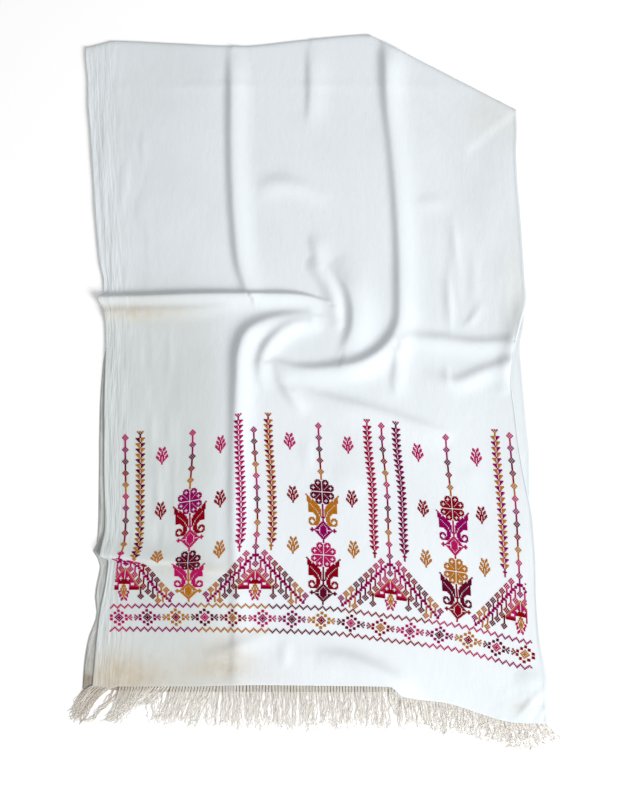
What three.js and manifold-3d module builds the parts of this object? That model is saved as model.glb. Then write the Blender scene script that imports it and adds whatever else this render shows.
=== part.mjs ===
// An embroidered scarf of thin off-white crepe, laid out flat and folded in half.
// Its fold is at the far end (+Y), both fringed ends are at the near end (-Y), and one far
// corner is tucked under. Millimetres. +Z is up, and z = 0 is the surface that it lies on.
// The origin is in the middle of the laid-out scarf, on that surface.

import * as THREE from 'three';
import { mergeVertices } from 'three/addons/utils/BufferGeometryUtils.js';
import Module from 'manifold-3d';

// Driving dimensions

const CLOTH_WIDTH = 700;         // cut width, selvedge to selvedge
const HALF_LENGTH = 1000;        // cut length from the upper hem to the fold
const WALL = 1.2;                // the cloth of the upper half, with its nap and small crinkles
const HIDDEN_LAYER = 1.1;        // each layer that shows at the edge of the hidden half
const SEAT_GAP = 0.3;            // between the upper half and what it lies on
const MID_HEIGHT = 2 * HIDDEN_LAYER + SEAT_GAP + WALL / 2;

const TUCK_START = 460;          // across the cloth, where the tucked corner's fold leaves the main fold
const TUCK_DEPTH = 110;          // how far down the side edge the tucked corner's fold ends
const TUCK_LAYER = 1.5;          // thickness that the tucked corner adds
const TUCK_CORNERS = [[84, 536], [302, 429], [228, 370]];
const TUCK_STEP = 12;            // width of the slope over the tucked corner's edges
const TUCK_SHARE = 0.42;         // how far its filling is drawn in towards its middle
const TUCK_SIDE_STEPS = 5;

const FOLD_ROLL = 7;             // the far edge turns down over this length of cloth
const FOLD_DROP = 2.1;

const STRIP_GAP = 0.4;           // between a hem and its band
const STRIP_WIDTH = 3;           // the band of knots that holds a fringe
const STRIP_THICKNESS = 1.1;
const COMB_LENGTH = 11;          // the neat stretch of each tuft, next to the knots
const TUFTS_ABOVE = 147;
const TUFTS_BELOW = 84;
const TUFT_WIDTH = 2;
const TUFT_SPACING = 2.2;        // the least distance between the middles of two tufts
// A tuft's sections at the end of its comb and where it bends, as half the width, half the height,
// and the height of the middle over what the fringe lies on.
const TUFT_COMB = { wide: 0.9, tall: 0.5, height: 0.75 };
const TUFT_BEND = { wide: 0.84, tall: 0.45, height: 0.5 };
const TUFT_TIP_HEIGHT = 0.25;
const BEND_ALONG = 0.55;         // the bend's share of a tuft's length
const BEND_SIDEWAYS = 0.42;      // and of its sideways swing
const UPPER_FLOOR = 1.7;         // the upper fringe lies on the lower one
const LOWER_FLOOR = 0.3;

// The drape of the upper half. Each section runs across the cloth at one distance (rise) above
// the hem. y is its place in plan at the left edge, at seven embroidered columns and at the
// right edge, and x is the place of the seven columns.

const STATIONS = [0, 41.5, 145.1, 248.7, 352.3, 455.9, 559.5, 663, CLOTH_WIDTH];
const SECTIONS = [
  { rise: 0, y: [-437, -438, -438, -436, -437, -438, -465, -493, -494],
    x: [-289, -190, -90, 11, 109, 207, 308] },
  { rise: 83, y: [-353, -353, -353.5, -355, -358, -369.5, -383, -407.5, -415],
    x: [-281, -185, -88, 10, 109.5, 208, 304] },
  { rise: 147.5, y: [-296, -296, -295, -294.5, -298, -310, -324, -345, -352],
    x: [-285, -188, -88, 14, 115, 215.5, 310] },
  { rise: 188.5, y: [-251, -254, -262, -253.5, -258, -268.5, -283.5, -300, -306],
    x: [-281.5, -188, -87.5, 14, 114, 213, 308.5] },
  { rise: 214, y: [-242, -244.5, -243.5, -228.5, -233.5, -243, -258, -272.5, -279],
    x: [-291, -187.5, -87, 14.5, 113.5, 212.5, 307.5] },
  { rise: 249, y: [-222, -224, -211.5, -192.5, -198.5, -207.5, -221.5, -233.5, -239],
    x: [-284, -185.5, -84.5, 14, 111.5, 210, 305.5] },
  { rise: 302, y: [-170, -171, -160.5, -139.5, -146.5, -153.5, -172, -176, -180],
    x: [-281.5, -186, -85.5, 12, 110, 207, 302.5] },
  { rise: 390, y: [-83, -83.5, -72, -53.5, -61.5, -65.5, -79.5, -81, -84],
    x: [-282.5, -181.5, -90, 7, 101.5, 198, 294] },
  { rise: 569, y: [99, 100, 106, 122, 119, 117, 106, 103, 102],
    x: [-281, -186, -91, 2.5, 96, 190, 283] },
  { rise: 614, y: [140, 141, 148, 161, 160, 160, 154, 152, 151],
    x: [-283, -187.5, -92, 1.5, 95, 189, 283] },
  { rise: 797, y: [325, 326, 330, 338, 338, 338, 335, 334, 334],
    x: [-294, -198.5, -103, -8.5, 86, 180, 274] },
  { rise: HALF_LENGTH, y: [519, 529, 525, 521, 530, 538, 535.5, 533, 532],
    x: [-304, -208.5, -113, -16.5, 80, 174.5, 269] },
];

const LEFT_EDGE = [
  { y: 519, x: -342 }, { y: 403, x: -337 }, { y: 288, x: -329.5 }, { y: 210, x: -323 },
  { y: 154, x: -314.5 }, { y: 140, x: -322.5 }, { y: 124, x: -313.5 }, { y: 81, x: -312 },
  { y: 21, x: -313 }, { y: -114, x: -314.5 }, { y: -196, x: -312.5 }, { y: -229, x: -318 },
  { y: -239, x: -319.5 }, { y: -250, x: -308 }, { y: -276, x: -311.5 }, { y: -303, x: -316.5 },
  { y: -375, x: -327 }, { y: -437, x: -332 },
];
const RIGHT_EDGE = [
  { y: 532, x: 303 }, { y: 339, x: 304.5 }, { y: 235, x: 312 }, { y: 141, x: 317.5 },
  { y: 103, x: 308.5 }, { y: 64, x: 299 }, { y: 21, x: 294.5 }, { y: -18, x: 299 },
  { y: -64, x: 304.5 }, { y: -129, x: 316 }, { y: -189, x: 328 }, { y: -249, x: 333 },
  { y: -318, x: 335.5 }, { y: -370, x: 340.5 }, { y: -429, x: 351 }, { y: -494, x: 351 },
];
// The hem sags where the last diagonal fold runs out over it.
const HEM_SAG = { from: 460, full: 481, hold: 486, until: 560, depth: 12.5, reach: 70 };

// Folds, in plan. A route's points are [x, y, height of the crest]. The steep flank is on the left
// of the route's direction, and lean moves the crest towards it.

const FOLDS = [
  { name: 'upper left ridge', steep: 8, gentle: 18, lean: 1.5,
    route: [[-98, 156, 5], [-110, 198, 7], [-117, 268, 7], [-121, 366, 7], [-121, 464, 7], [-122, 512, 2]] },
  { name: 'swirl, then upper right ridge', steep: 9, gentle: 19, lean: 2,
    route: [[-58, 44, 3], [-22, 35, 7], [30, 37, 9], [72, 46, 10], [108, 70, 10], [128, 104, 8],
      [131, 170, 8], [128, 268, 7], [120, 366, 6], [112, 440, 8], [110, 492, 9], [109, 522, 3]] },
  { name: 'lower left ridge into the swirl', steep: 10, gentle: 18, lean: 2,
    route: [[-115, -432, 2], [-114, -310, 3], [-117, -219, 4], [-117, -129, 6], [-115, -54, 7],
      [-112, 21, 10], [-109, 66, 11], [-98, 92, 10], [-74, 106, 9], [-44, 113, 8], [-8, 116, 4]] },
  { name: 'inner turn of the swirl', steep: 9, gentle: 13, lean: 1,
    route: [[-78, 20, 2], [-78, 48, 6], [-70, 69, 7], [-54, 87, 7], [-33, 99, 6], [-6, 104, 3]] },
  { name: 'waist pleat', steep: 6, gentle: 13, lean: 3,
    route: [[-326, 141, 9], [-250, 143, 9], [-170, 146, 9], [-81, 146, 8], [-20, 144, 7], [18, 134, 3]] },
  { name: 'under the waist pleat', steep: 6, gentle: 11, lean: 0,
    route: [[-326, 122, 4], [-250, 124, 4], [-180, 126, 3], [-125, 130, 1]] },
  { name: 'hook, outer', steep: 9, gentle: 26, lean: 1,
    route: [[48, 66, 2], [59, 98, 8], [60, 132, 9], [53, 159, 8], [42, 177, 5], [24, 196, 0]] },
  { name: 'hook, inner', steep: 11, gentle: 9, lean: 0,
    route: [[36, 108, 3], [31, 138, 6], [20, 165, 6], [3, 190, 5], [-5, 208, 0]] },
  { name: 'mound over the hook', steep: 9, gentle: 15, lean: 0,
    route: [[12, 196, 2], [3, 219, 4], [-3, 243, 0]] },
  { name: 'long diagonal', steep: 13, gentle: 26, lean: 0,
    route: [[-24, 4, 2], [36, -12, 5], [99, -28, 5], [159, -48, 4], [216, -66, 0]] },
  { name: 'spoke', steep: 7, gentle: 14, lean: 0,
    route: [[-12, -30, 0], [-30, -9, 4], [-46, 15, 4], [-55, 33, 2]] },
  { name: 'short crease', steep: 7, gentle: 15, lean: 0,
    route: [[123, -9, 0], [123, 28, 4], [127, 62, 4]] },
  { name: 'right, upper', steep: 12, gentle: 19, lean: 0,
    route: [[143, 84, 3], [189, 81, 5], [234, 75, 5], [290, 77, 4]] },
  { name: 'right, lower', steep: 12, gentle: 17, lean: 0,
    route: [[165, 34, 0], [210, 18, 4], [249, 32, 5], [294, 48, 4]] },
  { name: 'right edge curl', steep: 13, gentle: 10, lean: 0,
    route: [[285, 8, 2], [290, 44, 5], [297, 74, 6], [306, 110, 5], [313, 146, 1]] },
  { name: 'far middle crease', steep: 6, gentle: 20, lean: 0,
    route: [[-8, 398, 0], [-5, 441, 4], [-5, 486, 4], [-6, 518, 1]] },
  { name: 'arch', steep: 12, gentle: 15, lean: 0,
    route: [[-88, 306, 0], [-58, 315, 4], [-28, 312, 4], [24, 288, 0]] },
  { name: 'lower pleat', steep: 6, gentle: 18, lean: 3,
    route: [[-110, -263, 0], [-160, -261, 4], [-205, -248, 5], [-246, -246, 6], [-306, -238, 7],
      [-332, -236, 7]] },
  { name: 'near diagonal', steep: 15, gentle: 22, lean: 1,
    route: [[-6, -390, 1], [39, -394, 5], [77, -408, 7], [111, -428, 6], [134, -448, 2]] },
  { name: 'near left diagonal', steep: 10, gentle: 16, lean: 0,
    route: [[-171, -396, 0], [-110, -377, 3], [-52, -352, 0]] },
  { name: 'near right corner', steep: 12, gentle: 18, lean: 0,
    route: [[300, -424, 0], [328, -428, 4], [350, -440, 3]] },
];
const FOLD_SAMPLES = 40;         // straight steps that a route is measured by

// The mesh of the upper half is finer where the folds crowd. Each row says how far it goes and
// how long its steps are.

const COLUMNS_ACROSS = [{ to: 192, step: 24 }, { to: 516, step: 13 }, { to: CLOTH_WIDTH, step: 26 }];
const ROWS_UP = [
  { to: 180, step: 26 }, { to: 236, step: 9.5 }, { to: 428, step: 27 }, { to: 632, step: 14 },
  { to: HALF_LENGTH - FOLD_ROLL, step: 33 },
];
const ROLL_ROWS = [0.5, 0.15, 0]; // rows of the rolled far edge, as shares of the roll
const HIDDEN_SIDE_STEPS = 32;
const HIDDEN_FOLD_STEPS = 16;

// The hidden half's own edges, from the far end to the near end, and its hem.

const HIDDEN_LEFT = [
  { y: 508, x: -338 }, { y: 403, x: -334 }, { y: 288, x: -327 }, { y: 210, x: -320 },
  { y: 154, x: -312 }, { y: 90, x: -309 }, { y: 46, x: -316 }, { y: -30, x: -321 },
  { y: -189, x: -323 }, { y: -226, x: -326 }, { y: -239, x: -332 }, { y: -252, x: -320 },
  { y: -305, x: -328 }, { y: -328, x: -325.5 }, { y: -369, x: -338.5 }, { y: -403, x: -344 },
  { y: -442, x: -347 },
];
const HIDDEN_RIGHT = [
  { y: 414, x: 299 }, { y: 339, x: 301 }, { y: 235, x: 309 }, { y: 150, x: 314 },
  { y: 112, x: 316.5 }, { y: 69, x: 310 }, { y: 31, x: 313 }, { y: -48, x: 320 },
  { y: -87, x: 324 }, { y: -190, x: 326 }, { y: -318, x: 332.5 }, { y: -370, x: 337.5 },
  { y: -429, x: 347 }, { y: -486, x: 347 },
];
const HIDDEN_HEM = [
  { x: -347, y: -442 }, { x: -250, y: -446 }, { x: 108, y: -447 }, { x: 133, y: -447 },
  { x: 198, y: -454 }, { x: 264, y: -472 }, { x: 294, y: -483 }, { x: 347, y: -486 },
];
const HIDDEN_FOLD_INSET = 6;     // the hidden half stops this far short of the rolled fold
// Height and inset of each ring round the hidden half, from the floor up: a lower layer, then one
// that lies 3 mm further in.
const HIDDEN_RINGS = [
  { z: 0, inset: 0.5 }, { z: 0.5, inset: 0 }, { z: HIDDEN_LAYER - 0.05, inset: 0.5 },
  { z: HIDDEN_LAYER + 0.05, inset: 3.2 }, { z: HIDDEN_LAYER + 0.6, inset: 2.8 },
  { z: 2 * HIDDEN_LAYER, inset: 3.4 },
];
const TUCK_TOP = 2 * HIDDEN_LAYER + TUCK_LAYER;
const TUCK_RINGS = [
  { z: HIDDEN_LAYER, inset: 0 }, { z: TUCK_TOP - 0.7, inset: 0.4 },
  { z: TUCK_TOP - 0.2, inset: 1.2 }, { z: TUCK_TOP, inset: 2.6 },
];

// How the fringes lie: at each distance across, how far the tips swing sideways and how long the
// tufts are.

const SWING_ABOVE = [
  { across: 0, swing: -34, length: 40 }, { across: 50, swing: -28, length: 52 },
  { across: 90, swing: -16, length: 58 }, { across: 150, swing: -8, length: 60 },
  { across: 220, swing: -3, length: 61 }, { across: 350, swing: 0, length: 61 },
  { across: 455, swing: 3, length: 58 }, { across: 490, swing: 5, length: 46 },
  { across: 560, swing: 7, length: 49 }, { across: 640, swing: 13, length: 43 },
  { across: 680, swing: 16, length: 38 }, { across: CLOTH_WIDTH, swing: 24, length: 32 },
];
const SWING_BELOW = [
  { across: 0, swing: -16, length: 56 }, { across: 40, swing: -12, length: 56 },
  { across: 90, swing: -4, length: 53 }, { across: 160, swing: 0, length: 55 },
  { across: 400, swing: 3, length: 57 }, { across: 560, swing: 6, length: 46 },
  { across: CLOTH_WIDTH, swing: 10, length: 40 },
];
const WAVES = [                  // how the tips of neighbouring tufts gather
  { every: 31, swing: 5.5, phase: 0.6 }, { every: 13, swing: 2.4, phase: 2.1 },
  { every: 7.3, swing: 1.3, phase: 4.0 },
];

// Small mathematics

// A smooth curve through rows of (place, value) that never overshoots them.
function curveThrough(places, values) {
  const last = places.length - 1;
  const turned = places[0] > places[last];
  const at = turned ? [...places].reverse() : places;
  const heights = turned ? [...values].reverse() : values;
  const gaps = at.slice(1).map((p, i) => p - at[i]);
  const slopes = gaps.map((g, i) => (heights[i + 1] - heights[i]) / g);
  const tangents = at.map((_, i) => {
    if (i === 0) return slopes[0];
    if (i === last) return slopes[last - 1];
    if (slopes[i - 1] * slopes[i] <= 0) return 0;
    const before = 2 * gaps[i] + gaps[i - 1];
    const after = gaps[i] + 2 * gaps[i - 1];
    return (before + after) / (before / slopes[i - 1] + after / slopes[i]);
  });
  return (place) => {
    let i = 0;
    while (i < last - 1 && place > at[i + 1]) i += 1;
    const t = (place - at[i]) / gaps[i];
    if (t < 0) return heights[0] + slopes[0] * (place - at[0]);
    if (t > 1) return heights[last] + slopes[last - 1] * (place - at[last]);
    const low = (1 + 2 * t) * (1 - t) ** 2 * heights[i] + t * (1 - t) ** 2 * gaps[i] * tangents[i];
    const high = t * t * (3 - 2 * t) * heights[i + 1] + t * t * (t - 1) * gaps[i] * tangents[i + 1];
    return low + high;
  };
}

function column(rows, place, value) {
  return curveThrough(rows.map((row) => row[place]), rows.map((row) => row[value]));
}

const smooth = (from, to, value) => THREE.MathUtils.smoothstep(value, from, to);

// The drape

const rises = SECTIONS.map((section) => section.rise);
const stationY = STATIONS.map((_, k) => curveThrough(rises, SECTIONS.map((section) => section.y[k])));
const columnX = SECTIONS[0].x.map((_, k) => curveThrough(rises, SECTIONS.map((section) => section.x[k])));
const leftEdge = column(LEFT_EDGE, 'y', 'x');
const rightEdge = column(RIGHT_EDGE, 'y', 'x');

function hemSag(across, rise) {
  const s = HEM_SAG;
  const along = smooth(s.from, s.full, across) * (1 - smooth(s.hold, s.until, across));
  return s.depth * along * (1 - smooth(0, s.reach, rise));
}

// Where a point of the cut cloth lies in plan.
function inPlan(across, rise) {
  const ys = stationY.map((curve) => curve(rise));
  const columns = columnX.map((curve) => curve(rise));
  const xs = [leftEdge(ys[0]), ...columns, rightEdge(ys[ys.length - 1])];
  const x = curveThrough(STATIONS, xs)(across);
  const y = curveThrough(STATIONS, ys)(across) - hemSag(across, rise);
  return new THREE.Vector2(x, y);
}

const creases = FOLDS.map((fold) => {
  const route = fold.route.map((p) => new THREE.Vector3(...p));
  const path = new THREE.CatmullRomCurve3(route, false, 'centripetal');
  return { ...fold, points: path.getPoints(FOLD_SAMPLES) };
});

// The height of one fold at a point in plan, and the way that its steep flank faces.
function foldAt(fold, point) {
  let best = { distance: Infinity };
  for (let i = 0; i < fold.points.length - 1; i += 1) {
    const a = fold.points[i];
    const b = fold.points[i + 1];
    const run = new THREE.Vector2(b.x - a.x, b.y - a.y);
    const off = new THREE.Vector2(point.x - a.x, point.y - a.y);
    const t = THREE.MathUtils.clamp(off.dot(run) / run.lengthSq(), 0, 1);
    const away = off.clone().addScaledVector(run, -t);
    const distance = away.length();
    if (distance < best.distance) {
      const side = run.x * off.y - run.y * off.x;
      const left = new THREE.Vector2(-run.y, run.x).normalize();
      best = { distance, side, left, crest: a.z + (b.z - a.z) * t };
    }
  }
  const width = best.side > 0 ? fold.steep : fold.gentle;
  const share = Math.exp(-((best.distance / width) ** 2));
  return { height: best.crest * share, shift: best.left.multiplyScalar(fold.lean * share) };
}

// The tucked corner lifts what lies on it.
function tuckLift(point) {
  let inside = Infinity;
  for (const [i, j] of [[1, 2], [2, 0]]) {
    const a = TUCK_CORNERS[i];
    const b = TUCK_CORNERS[j];
    const length = Math.hypot(b[0] - a[0], b[1] - a[1]);
    const cross = (b[0] - a[0]) * (point.y - a[1]) - (b[1] - a[1]) * (point.x - a[0]);
    inside = Math.min(inside, -cross / length);
  }
  return TUCK_LAYER * smooth(-TUCK_STEP, 0, inside);
}

function farEdge(across) {
  const tucked = Math.max(0, across - TUCK_START) / (CLOTH_WIDTH - TUCK_START);
  return HALF_LENGTH - TUCK_DEPTH * tucked;
}

// The middle of the cloth's thickness at a point of the cut. reach is 0 at the hem and 1 at the
// folded far edge.
function onCloth(across, reach) {
  const rise = reach * farEdge(across);
  const point = inPlan(across, rise);
  let height = MID_HEIGHT + tuckLift(point);
  const shift = new THREE.Vector2();
  for (const crease of creases) {
    const fold = foldAt(crease, point);
    height += fold.height;
    shift.add(fold.shift);
  }
  const toEdge = THREE.MathUtils.clamp(1 - (farEdge(across) - rise) / FOLD_ROLL, 0, 1);
  height -= (FOLD_DROP + tuckLift(point)) * (1 - Math.sqrt(1 - toEdge ** 2));
  return new THREE.Vector3(point.x + shift.x, point.y + shift.y, height);
}

// Meshes

class Faces {
  constructor() {
    this.points = [];
    this.triangles = [];
  }

  point(x, y, z) {
    this.points.push(x, y, z);
    return this.points.length / 3 - 1;
  }

  quad(a, b, c, d) {
    this.triangles.push(a, b, c, a, c, d);
  }

  geometry() {
    const geometry = new THREE.BufferGeometry();
    geometry.setAttribute('position', new THREE.Float32BufferAttribute(this.points, 3));
    geometry.setIndex(this.triangles);
    return geometry;
  }
}

function stops(rows) {
  const places = [0];
  for (const row of rows) {
    const from = places[places.length - 1];
    const count = Math.max(1, Math.round((row.to - from) / row.step));
    for (let i = 1; i <= count; i += 1) places.push(from + ((row.to - from) * i) / count);
  }
  return places;
}

function clothNormal(across, reach) {
  const side = 1.5;
  const up = side / HALF_LENGTH;
  const right = onCloth(Math.min(across + side, CLOTH_WIDTH), reach);
  right.sub(onCloth(Math.max(across - side, 0), reach));
  const far = onCloth(across, Math.min(reach + up, 1));
  far.sub(onCloth(across, Math.max(reach - up, 0)));
  return right.cross(far).normalize();
}

function topLayer() {
  const faces = new Faces();
  const columns = stops(COLUMNS_ACROSS);
  const roll = ROLL_ROWS.map((share) => HALF_LENGTH - share * FOLD_ROLL);
  const rise = [...stops(ROWS_UP), ...roll];
  const grid = { over: [], under: [] };
  for (const up of rise) {
    const over = [];
    const under = [];
    for (const across of columns) {
      const middle = onCloth(across, up / HALF_LENGTH);
      const normal = clothNormal(across, up / HALF_LENGTH);
      over.push(faces.point(...middle.clone().addScaledVector(normal, WALL / 2)));
      under.push(faces.point(...middle.clone().addScaledVector(normal, -WALL / 2)));
    }
    grid.over.push(over);
    grid.under.push(under);
  }
  const { over, under } = grid;
  const lastRow = rise.length - 1;
  const lastColumn = columns.length - 1;
  for (let r = 0; r < lastRow; r += 1) {
    for (let c = 0; c < lastColumn; c += 1) {
      faces.quad(over[r][c], over[r][c + 1], over[r + 1][c + 1], over[r + 1][c]);
      faces.quad(under[r][c], under[r + 1][c], under[r + 1][c + 1], under[r][c + 1]);
    }
    faces.quad(under[r][0], over[r][0], over[r + 1][0], under[r + 1][0]);
    faces.quad(over[r][lastColumn], under[r][lastColumn], under[r + 1][lastColumn], over[r + 1][lastColumn]);
  }
  for (let c = 0; c < lastColumn; c += 1) {
    faces.quad(under[0][c], under[0][c + 1], over[0][c + 1], over[0][c]);
    faces.quad(over[lastRow][c], over[lastRow][c + 1], under[lastRow][c + 1], under[lastRow][c]);
  }
  return faces.geometry();
}

// The hidden half

function hiddenHem(x) {
  const i = HIDDEN_HEM.findIndex((point) => point.x > x);
  const [a, b] = [HIDDEN_HEM[i - 1], HIDDEN_HEM[i]];
  return THREE.MathUtils.mapLinear(x, a.x, b.x, a.y, b.y);
}

function hiddenOutline() {
  const outline = HIDDEN_HEM.slice(0, -1).map((point) => new THREE.Vector2(point.x, point.y));
  const left = column(HIDDEN_LEFT, 'y', 'x');
  const right = column(HIDDEN_RIGHT, 'y', 'x');
  const ends = (edge) => [edge[edge.length - 1].y, edge[0].y];
  const [leftLow, leftHigh] = ends(HIDDEN_LEFT);
  const [rightLow, rightHigh] = ends(HIDDEN_RIGHT);
  for (let i = 0; i < HIDDEN_SIDE_STEPS; i += 1) {
    const y = THREE.MathUtils.lerp(rightLow, rightHigh, i / HIDDEN_SIDE_STEPS);
    outline.push(new THREE.Vector2(right(y), y));
  }
  for (let i = 0; i < HIDDEN_FOLD_STEPS; i += 1) {
    const across = CLOTH_WIDTH * (1 - (i + 0.3) / HIDDEN_FOLD_STEPS);
    outline.push(inPlan(across, farEdge(across) - HIDDEN_FOLD_INSET));
  }
  for (let i = 0; i < HIDDEN_SIDE_STEPS; i += 1) {
    const y = THREE.MathUtils.lerp(leftHigh, leftLow, i / HIDDEN_SIDE_STEPS);
    outline.push(new THREE.Vector2(left(y), y));
  }
  return outline;
}

function insetOutline(outline, inset) {
  const count = outline.length;
  return outline.map((point, i) => {
    const before = outline[(i + count - 1) % count];
    const after = outline[(i + 1) % count];
    const run = after.clone().sub(before).normalize();
    return new THREE.Vector2(point.x - run.y * inset, point.y + run.x * inset);
  });
}

// Rings of points joined into a closed body with a flat face below and one above.
function ringedBody(outline, rings) {
  const faces = new Faces();
  const count = outline.length;
  const loop = (ring) => insetOutline(outline, ring.inset).map((p) => faces.point(p.x, p.y, ring.z));
  const loops = rings.map(loop);
  for (let r = 0; r < loops.length - 1; r += 1) {
    for (let i = 0; i < count; i += 1) {
      const next = (i + 1) % count;
      faces.quad(loops[r][i], loops[r][next], loops[r + 1][next], loops[r + 1][i]);
    }
  }
  const first = insetOutline(outline, rings[0].inset);
  for (const [a, b, c] of THREE.ShapeUtils.triangulateShape(first, [])) {
    faces.triangles.push(loops[0][c], loops[0][b], loops[0][a]);
  }
  const last = insetOutline(outline, rings[rings.length - 1].inset);
  const top = loops[loops.length - 1];
  for (const [a, b, c] of THREE.ShapeUtils.triangulateShape(last, [])) {
    faces.triangles.push(top[a], top[b], top[c]);
  }
  return faces.geometry();
}

function tuckedCorner() {
  const corners = TUCK_CORNERS.map((p) => new THREE.Vector2(...p)).reverse();
  const centre = corners.reduce((sum, p) => sum.add(p), new THREE.Vector2()).divideScalar(3);
  const outline = corners.map((p) => p.clone().lerp(centre, TUCK_SHARE));
  const sides = outline.flatMap((p, i) => {
    const next = outline[(i + 1) % 3];
    const steps = Array.from({ length: TUCK_SIDE_STEPS }, (_, k) => (k + 0.5) / TUCK_SIDE_STEPS);
    return steps.map((share) => p.clone().lerp(next, share));
  });
  return ringedBody(sides, TUCK_RINGS);
}

const wasm = await Module();
wasm.setup();

function solid(geometry) {
  const merged = mergeVertices(geometry, 1e-4);
  return new wasm.Manifold(new wasm.Mesh({
    numProp: 3,
    vertProperties: new Float32Array(merged.attributes.position.array),
    triVerts: new Uint32Array(merged.index.array),
  }));
}

function geometryOf(manifold) {
  const mesh = manifold.getMesh();
  const geometry = new THREE.BufferGeometry();
  geometry.setAttribute('position', new THREE.BufferAttribute(mesh.vertProperties, 3));
  geometry.setIndex(new THREE.BufferAttribute(mesh.triVerts, 1));
  return geometry;
}

function underLayers() {
  const layers = solid(ringedBody(hiddenOutline(), HIDDEN_RINGS));
  return geometryOf(layers.add(solid(tuckedCorner())));
}

// Fringes

// The route of each tuft: its comb's end, its bend and its tip. No tuft crosses the one before it.
function tuftRoutes({ count, root, swings, floor }) {
  const swing = column(swings, 'across', 'swing');
  const length = column(swings, 'across', 'length');
  let bend = -Infinity;
  let tip = -Infinity;
  return Array.from({ length: count }, (_, i) => {
    const across = (CLOTH_WIDTH * (i + 0.5)) / count;
    const waves = WAVES.map((w) => w.swing * Math.sin((across / w.every) * 2 * Math.PI + w.phase));
    const sideways = swing(across) + waves.reduce((sum, wave) => sum + wave, 0);
    const reach = length(across) + 0.8 * waves[1] + waves[2];
    const start = root(across);
    const y = start.y - STRIP_WIDTH;
    bend = Math.max(bend + TUFT_SPACING, start.x + BEND_SIDEWAYS * sideways);
    tip = Math.max(tip + TUFT_SPACING / 2, start.x + sideways);
    return {
      across,
      comb: new THREE.Vector3(start.x, y - COMB_LENGTH, floor + TUFT_COMB.height),
      bend: new THREE.Vector3(bend, y - BEND_ALONG * reach, floor + TUFT_BEND.height),
      tip: new THREE.Vector3(tip, y - reach, floor + TUFT_TIP_HEIGHT),
    };
  });
}

function tuftSection(faces, middle, { wide, tall }) {
  const { x, y, z } = middle;
  return [
    faces.point(x - wide, y, z - tall), faces.point(x + wide, y, z - tall),
    faces.point(x + wide, y, z + tall), faces.point(x - wide, y, z + tall),
  ];
}

function addTuft(faces, base, route) {
  const comb = tuftSection(faces, route.comb, TUFT_COMB);
  const bend = tuftSection(faces, route.bend, TUFT_BEND);
  for (const [a, b] of [[base, comb], [comb, bend]]) {
    for (let k = 0; k < 4; k += 1) faces.quad(a[k], a[(k + 1) % 4], b[(k + 1) % 4], b[k]);
  }
  const tip = faces.point(route.tip.x, route.tip.y, route.tip.z);
  for (let k = 0; k < 4; k += 1) faces.triangles.push(bend[k], bend[(k + 1) % 4], tip);
}

// The band's lower and upper points at one place across, at its back and at its front.
function bandEdge(faces, { x, y, z }) {
  const half = STRIP_THICKNESS / 2;
  const front = y - STRIP_WIDTH;
  return {
    back: [faces.point(x, y, z - half), faces.point(x, y, z + half)],
    front: [faces.point(x, front, z - half), faces.point(x, front, z + half)],
  };
}

function addBand(faces, a, b) {
  faces.quad(a.back[1], a.front[1], b.front[1], b.back[1]);
  faces.quad(a.front[0], a.back[0], b.back[0], b.front[0]);
  faces.quad(a.back[0], a.back[1], b.back[1], b.back[0]);
}

// A band of knots with one tapering tuft for each tooth. root(across) gives the middle of the
// band's outer edge at a distance across the cloth.
function fringe(strip) {
  const faces = new Faces();
  const start = bandEdge(faces, strip.root(0));
  faces.quad(start.back[0], start.front[0], start.front[1], start.back[1]);
  let before = start;
  for (const route of tuftRoutes(strip)) {
    const left = bandEdge(faces, strip.root(route.across - TUFT_WIDTH / 2));
    const right = bandEdge(faces, strip.root(route.across + TUFT_WIDTH / 2));
    addBand(faces, before, left);
    faces.quad(before.front[0], left.front[0], left.front[1], before.front[1]);
    addBand(faces, left, right);
    addTuft(faces, [left.front[0], right.front[0], right.front[1], left.front[1]], route);
    before = right;
  }
  const finish = bandEdge(faces, strip.root(CLOTH_WIDTH));
  addBand(faces, before, finish);
  faces.quad(before.front[0], finish.front[0], finish.front[1], before.front[1]);
  faces.quad(finish.back[1], finish.front[1], finish.front[0], finish.back[0]);
  return faces.geometry();
}

// The upper hem as the cloth's mesh has it, straight from column to column.
const hemColumns = stops(COLUMNS_ACROSS);
const hemPoints = hemColumns.map((across) => onCloth(across, 0));

function upperRoot(across) {
  let i = 0;
  while (i < hemColumns.length - 2 && across > hemColumns[i + 1]) i += 1;
  const share = (across - hemColumns[i]) / (hemColumns[i + 1] - hemColumns[i]);
  const hem = hemPoints[i].clone().lerp(hemPoints[i + 1], share);
  return new THREE.Vector3(hem.x, hem.y - STRIP_GAP, hem.z);
}

function lowerRoot(across) {
  const from = HIDDEN_HEM[0].x + 1;
  const to = HIDDEN_HEM[HIDDEN_HEM.length - 1].x - 1;
  const x = from + ((to - from) * across) / CLOTH_WIDTH;
  return new THREE.Vector3(x, hiddenHem(x) - STRIP_GAP, LOWER_FLOOR + STRIP_THICKNESS / 2);
}

// The scarf

const crepe = new THREE.MeshStandardMaterial({ color: 0xe9e8e4, roughness: 0.85, metalness: 0 });
const crepeBelow = new THREE.MeshStandardMaterial({ color: 0xdedcd6, roughness: 0.85, metalness: 0 });
const threads = new THREE.MeshStandardMaterial({ color: 0xe6e2da, roughness: 0.8, metalness: 0 });

const scarf = new THREE.Group();

function add(name, geometry, material) {
  const mesh = new THREE.Mesh(geometry, material);
  mesh.name = name;
  scarf.add(mesh);
}

const upperFringe = { count: TUFTS_ABOVE, root: upperRoot, swings: SWING_ABOVE, floor: UPPER_FLOOR };
const lowerFringe = { count: TUFTS_BELOW, root: lowerRoot, swings: SWING_BELOW, floor: LOWER_FLOOR };

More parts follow.
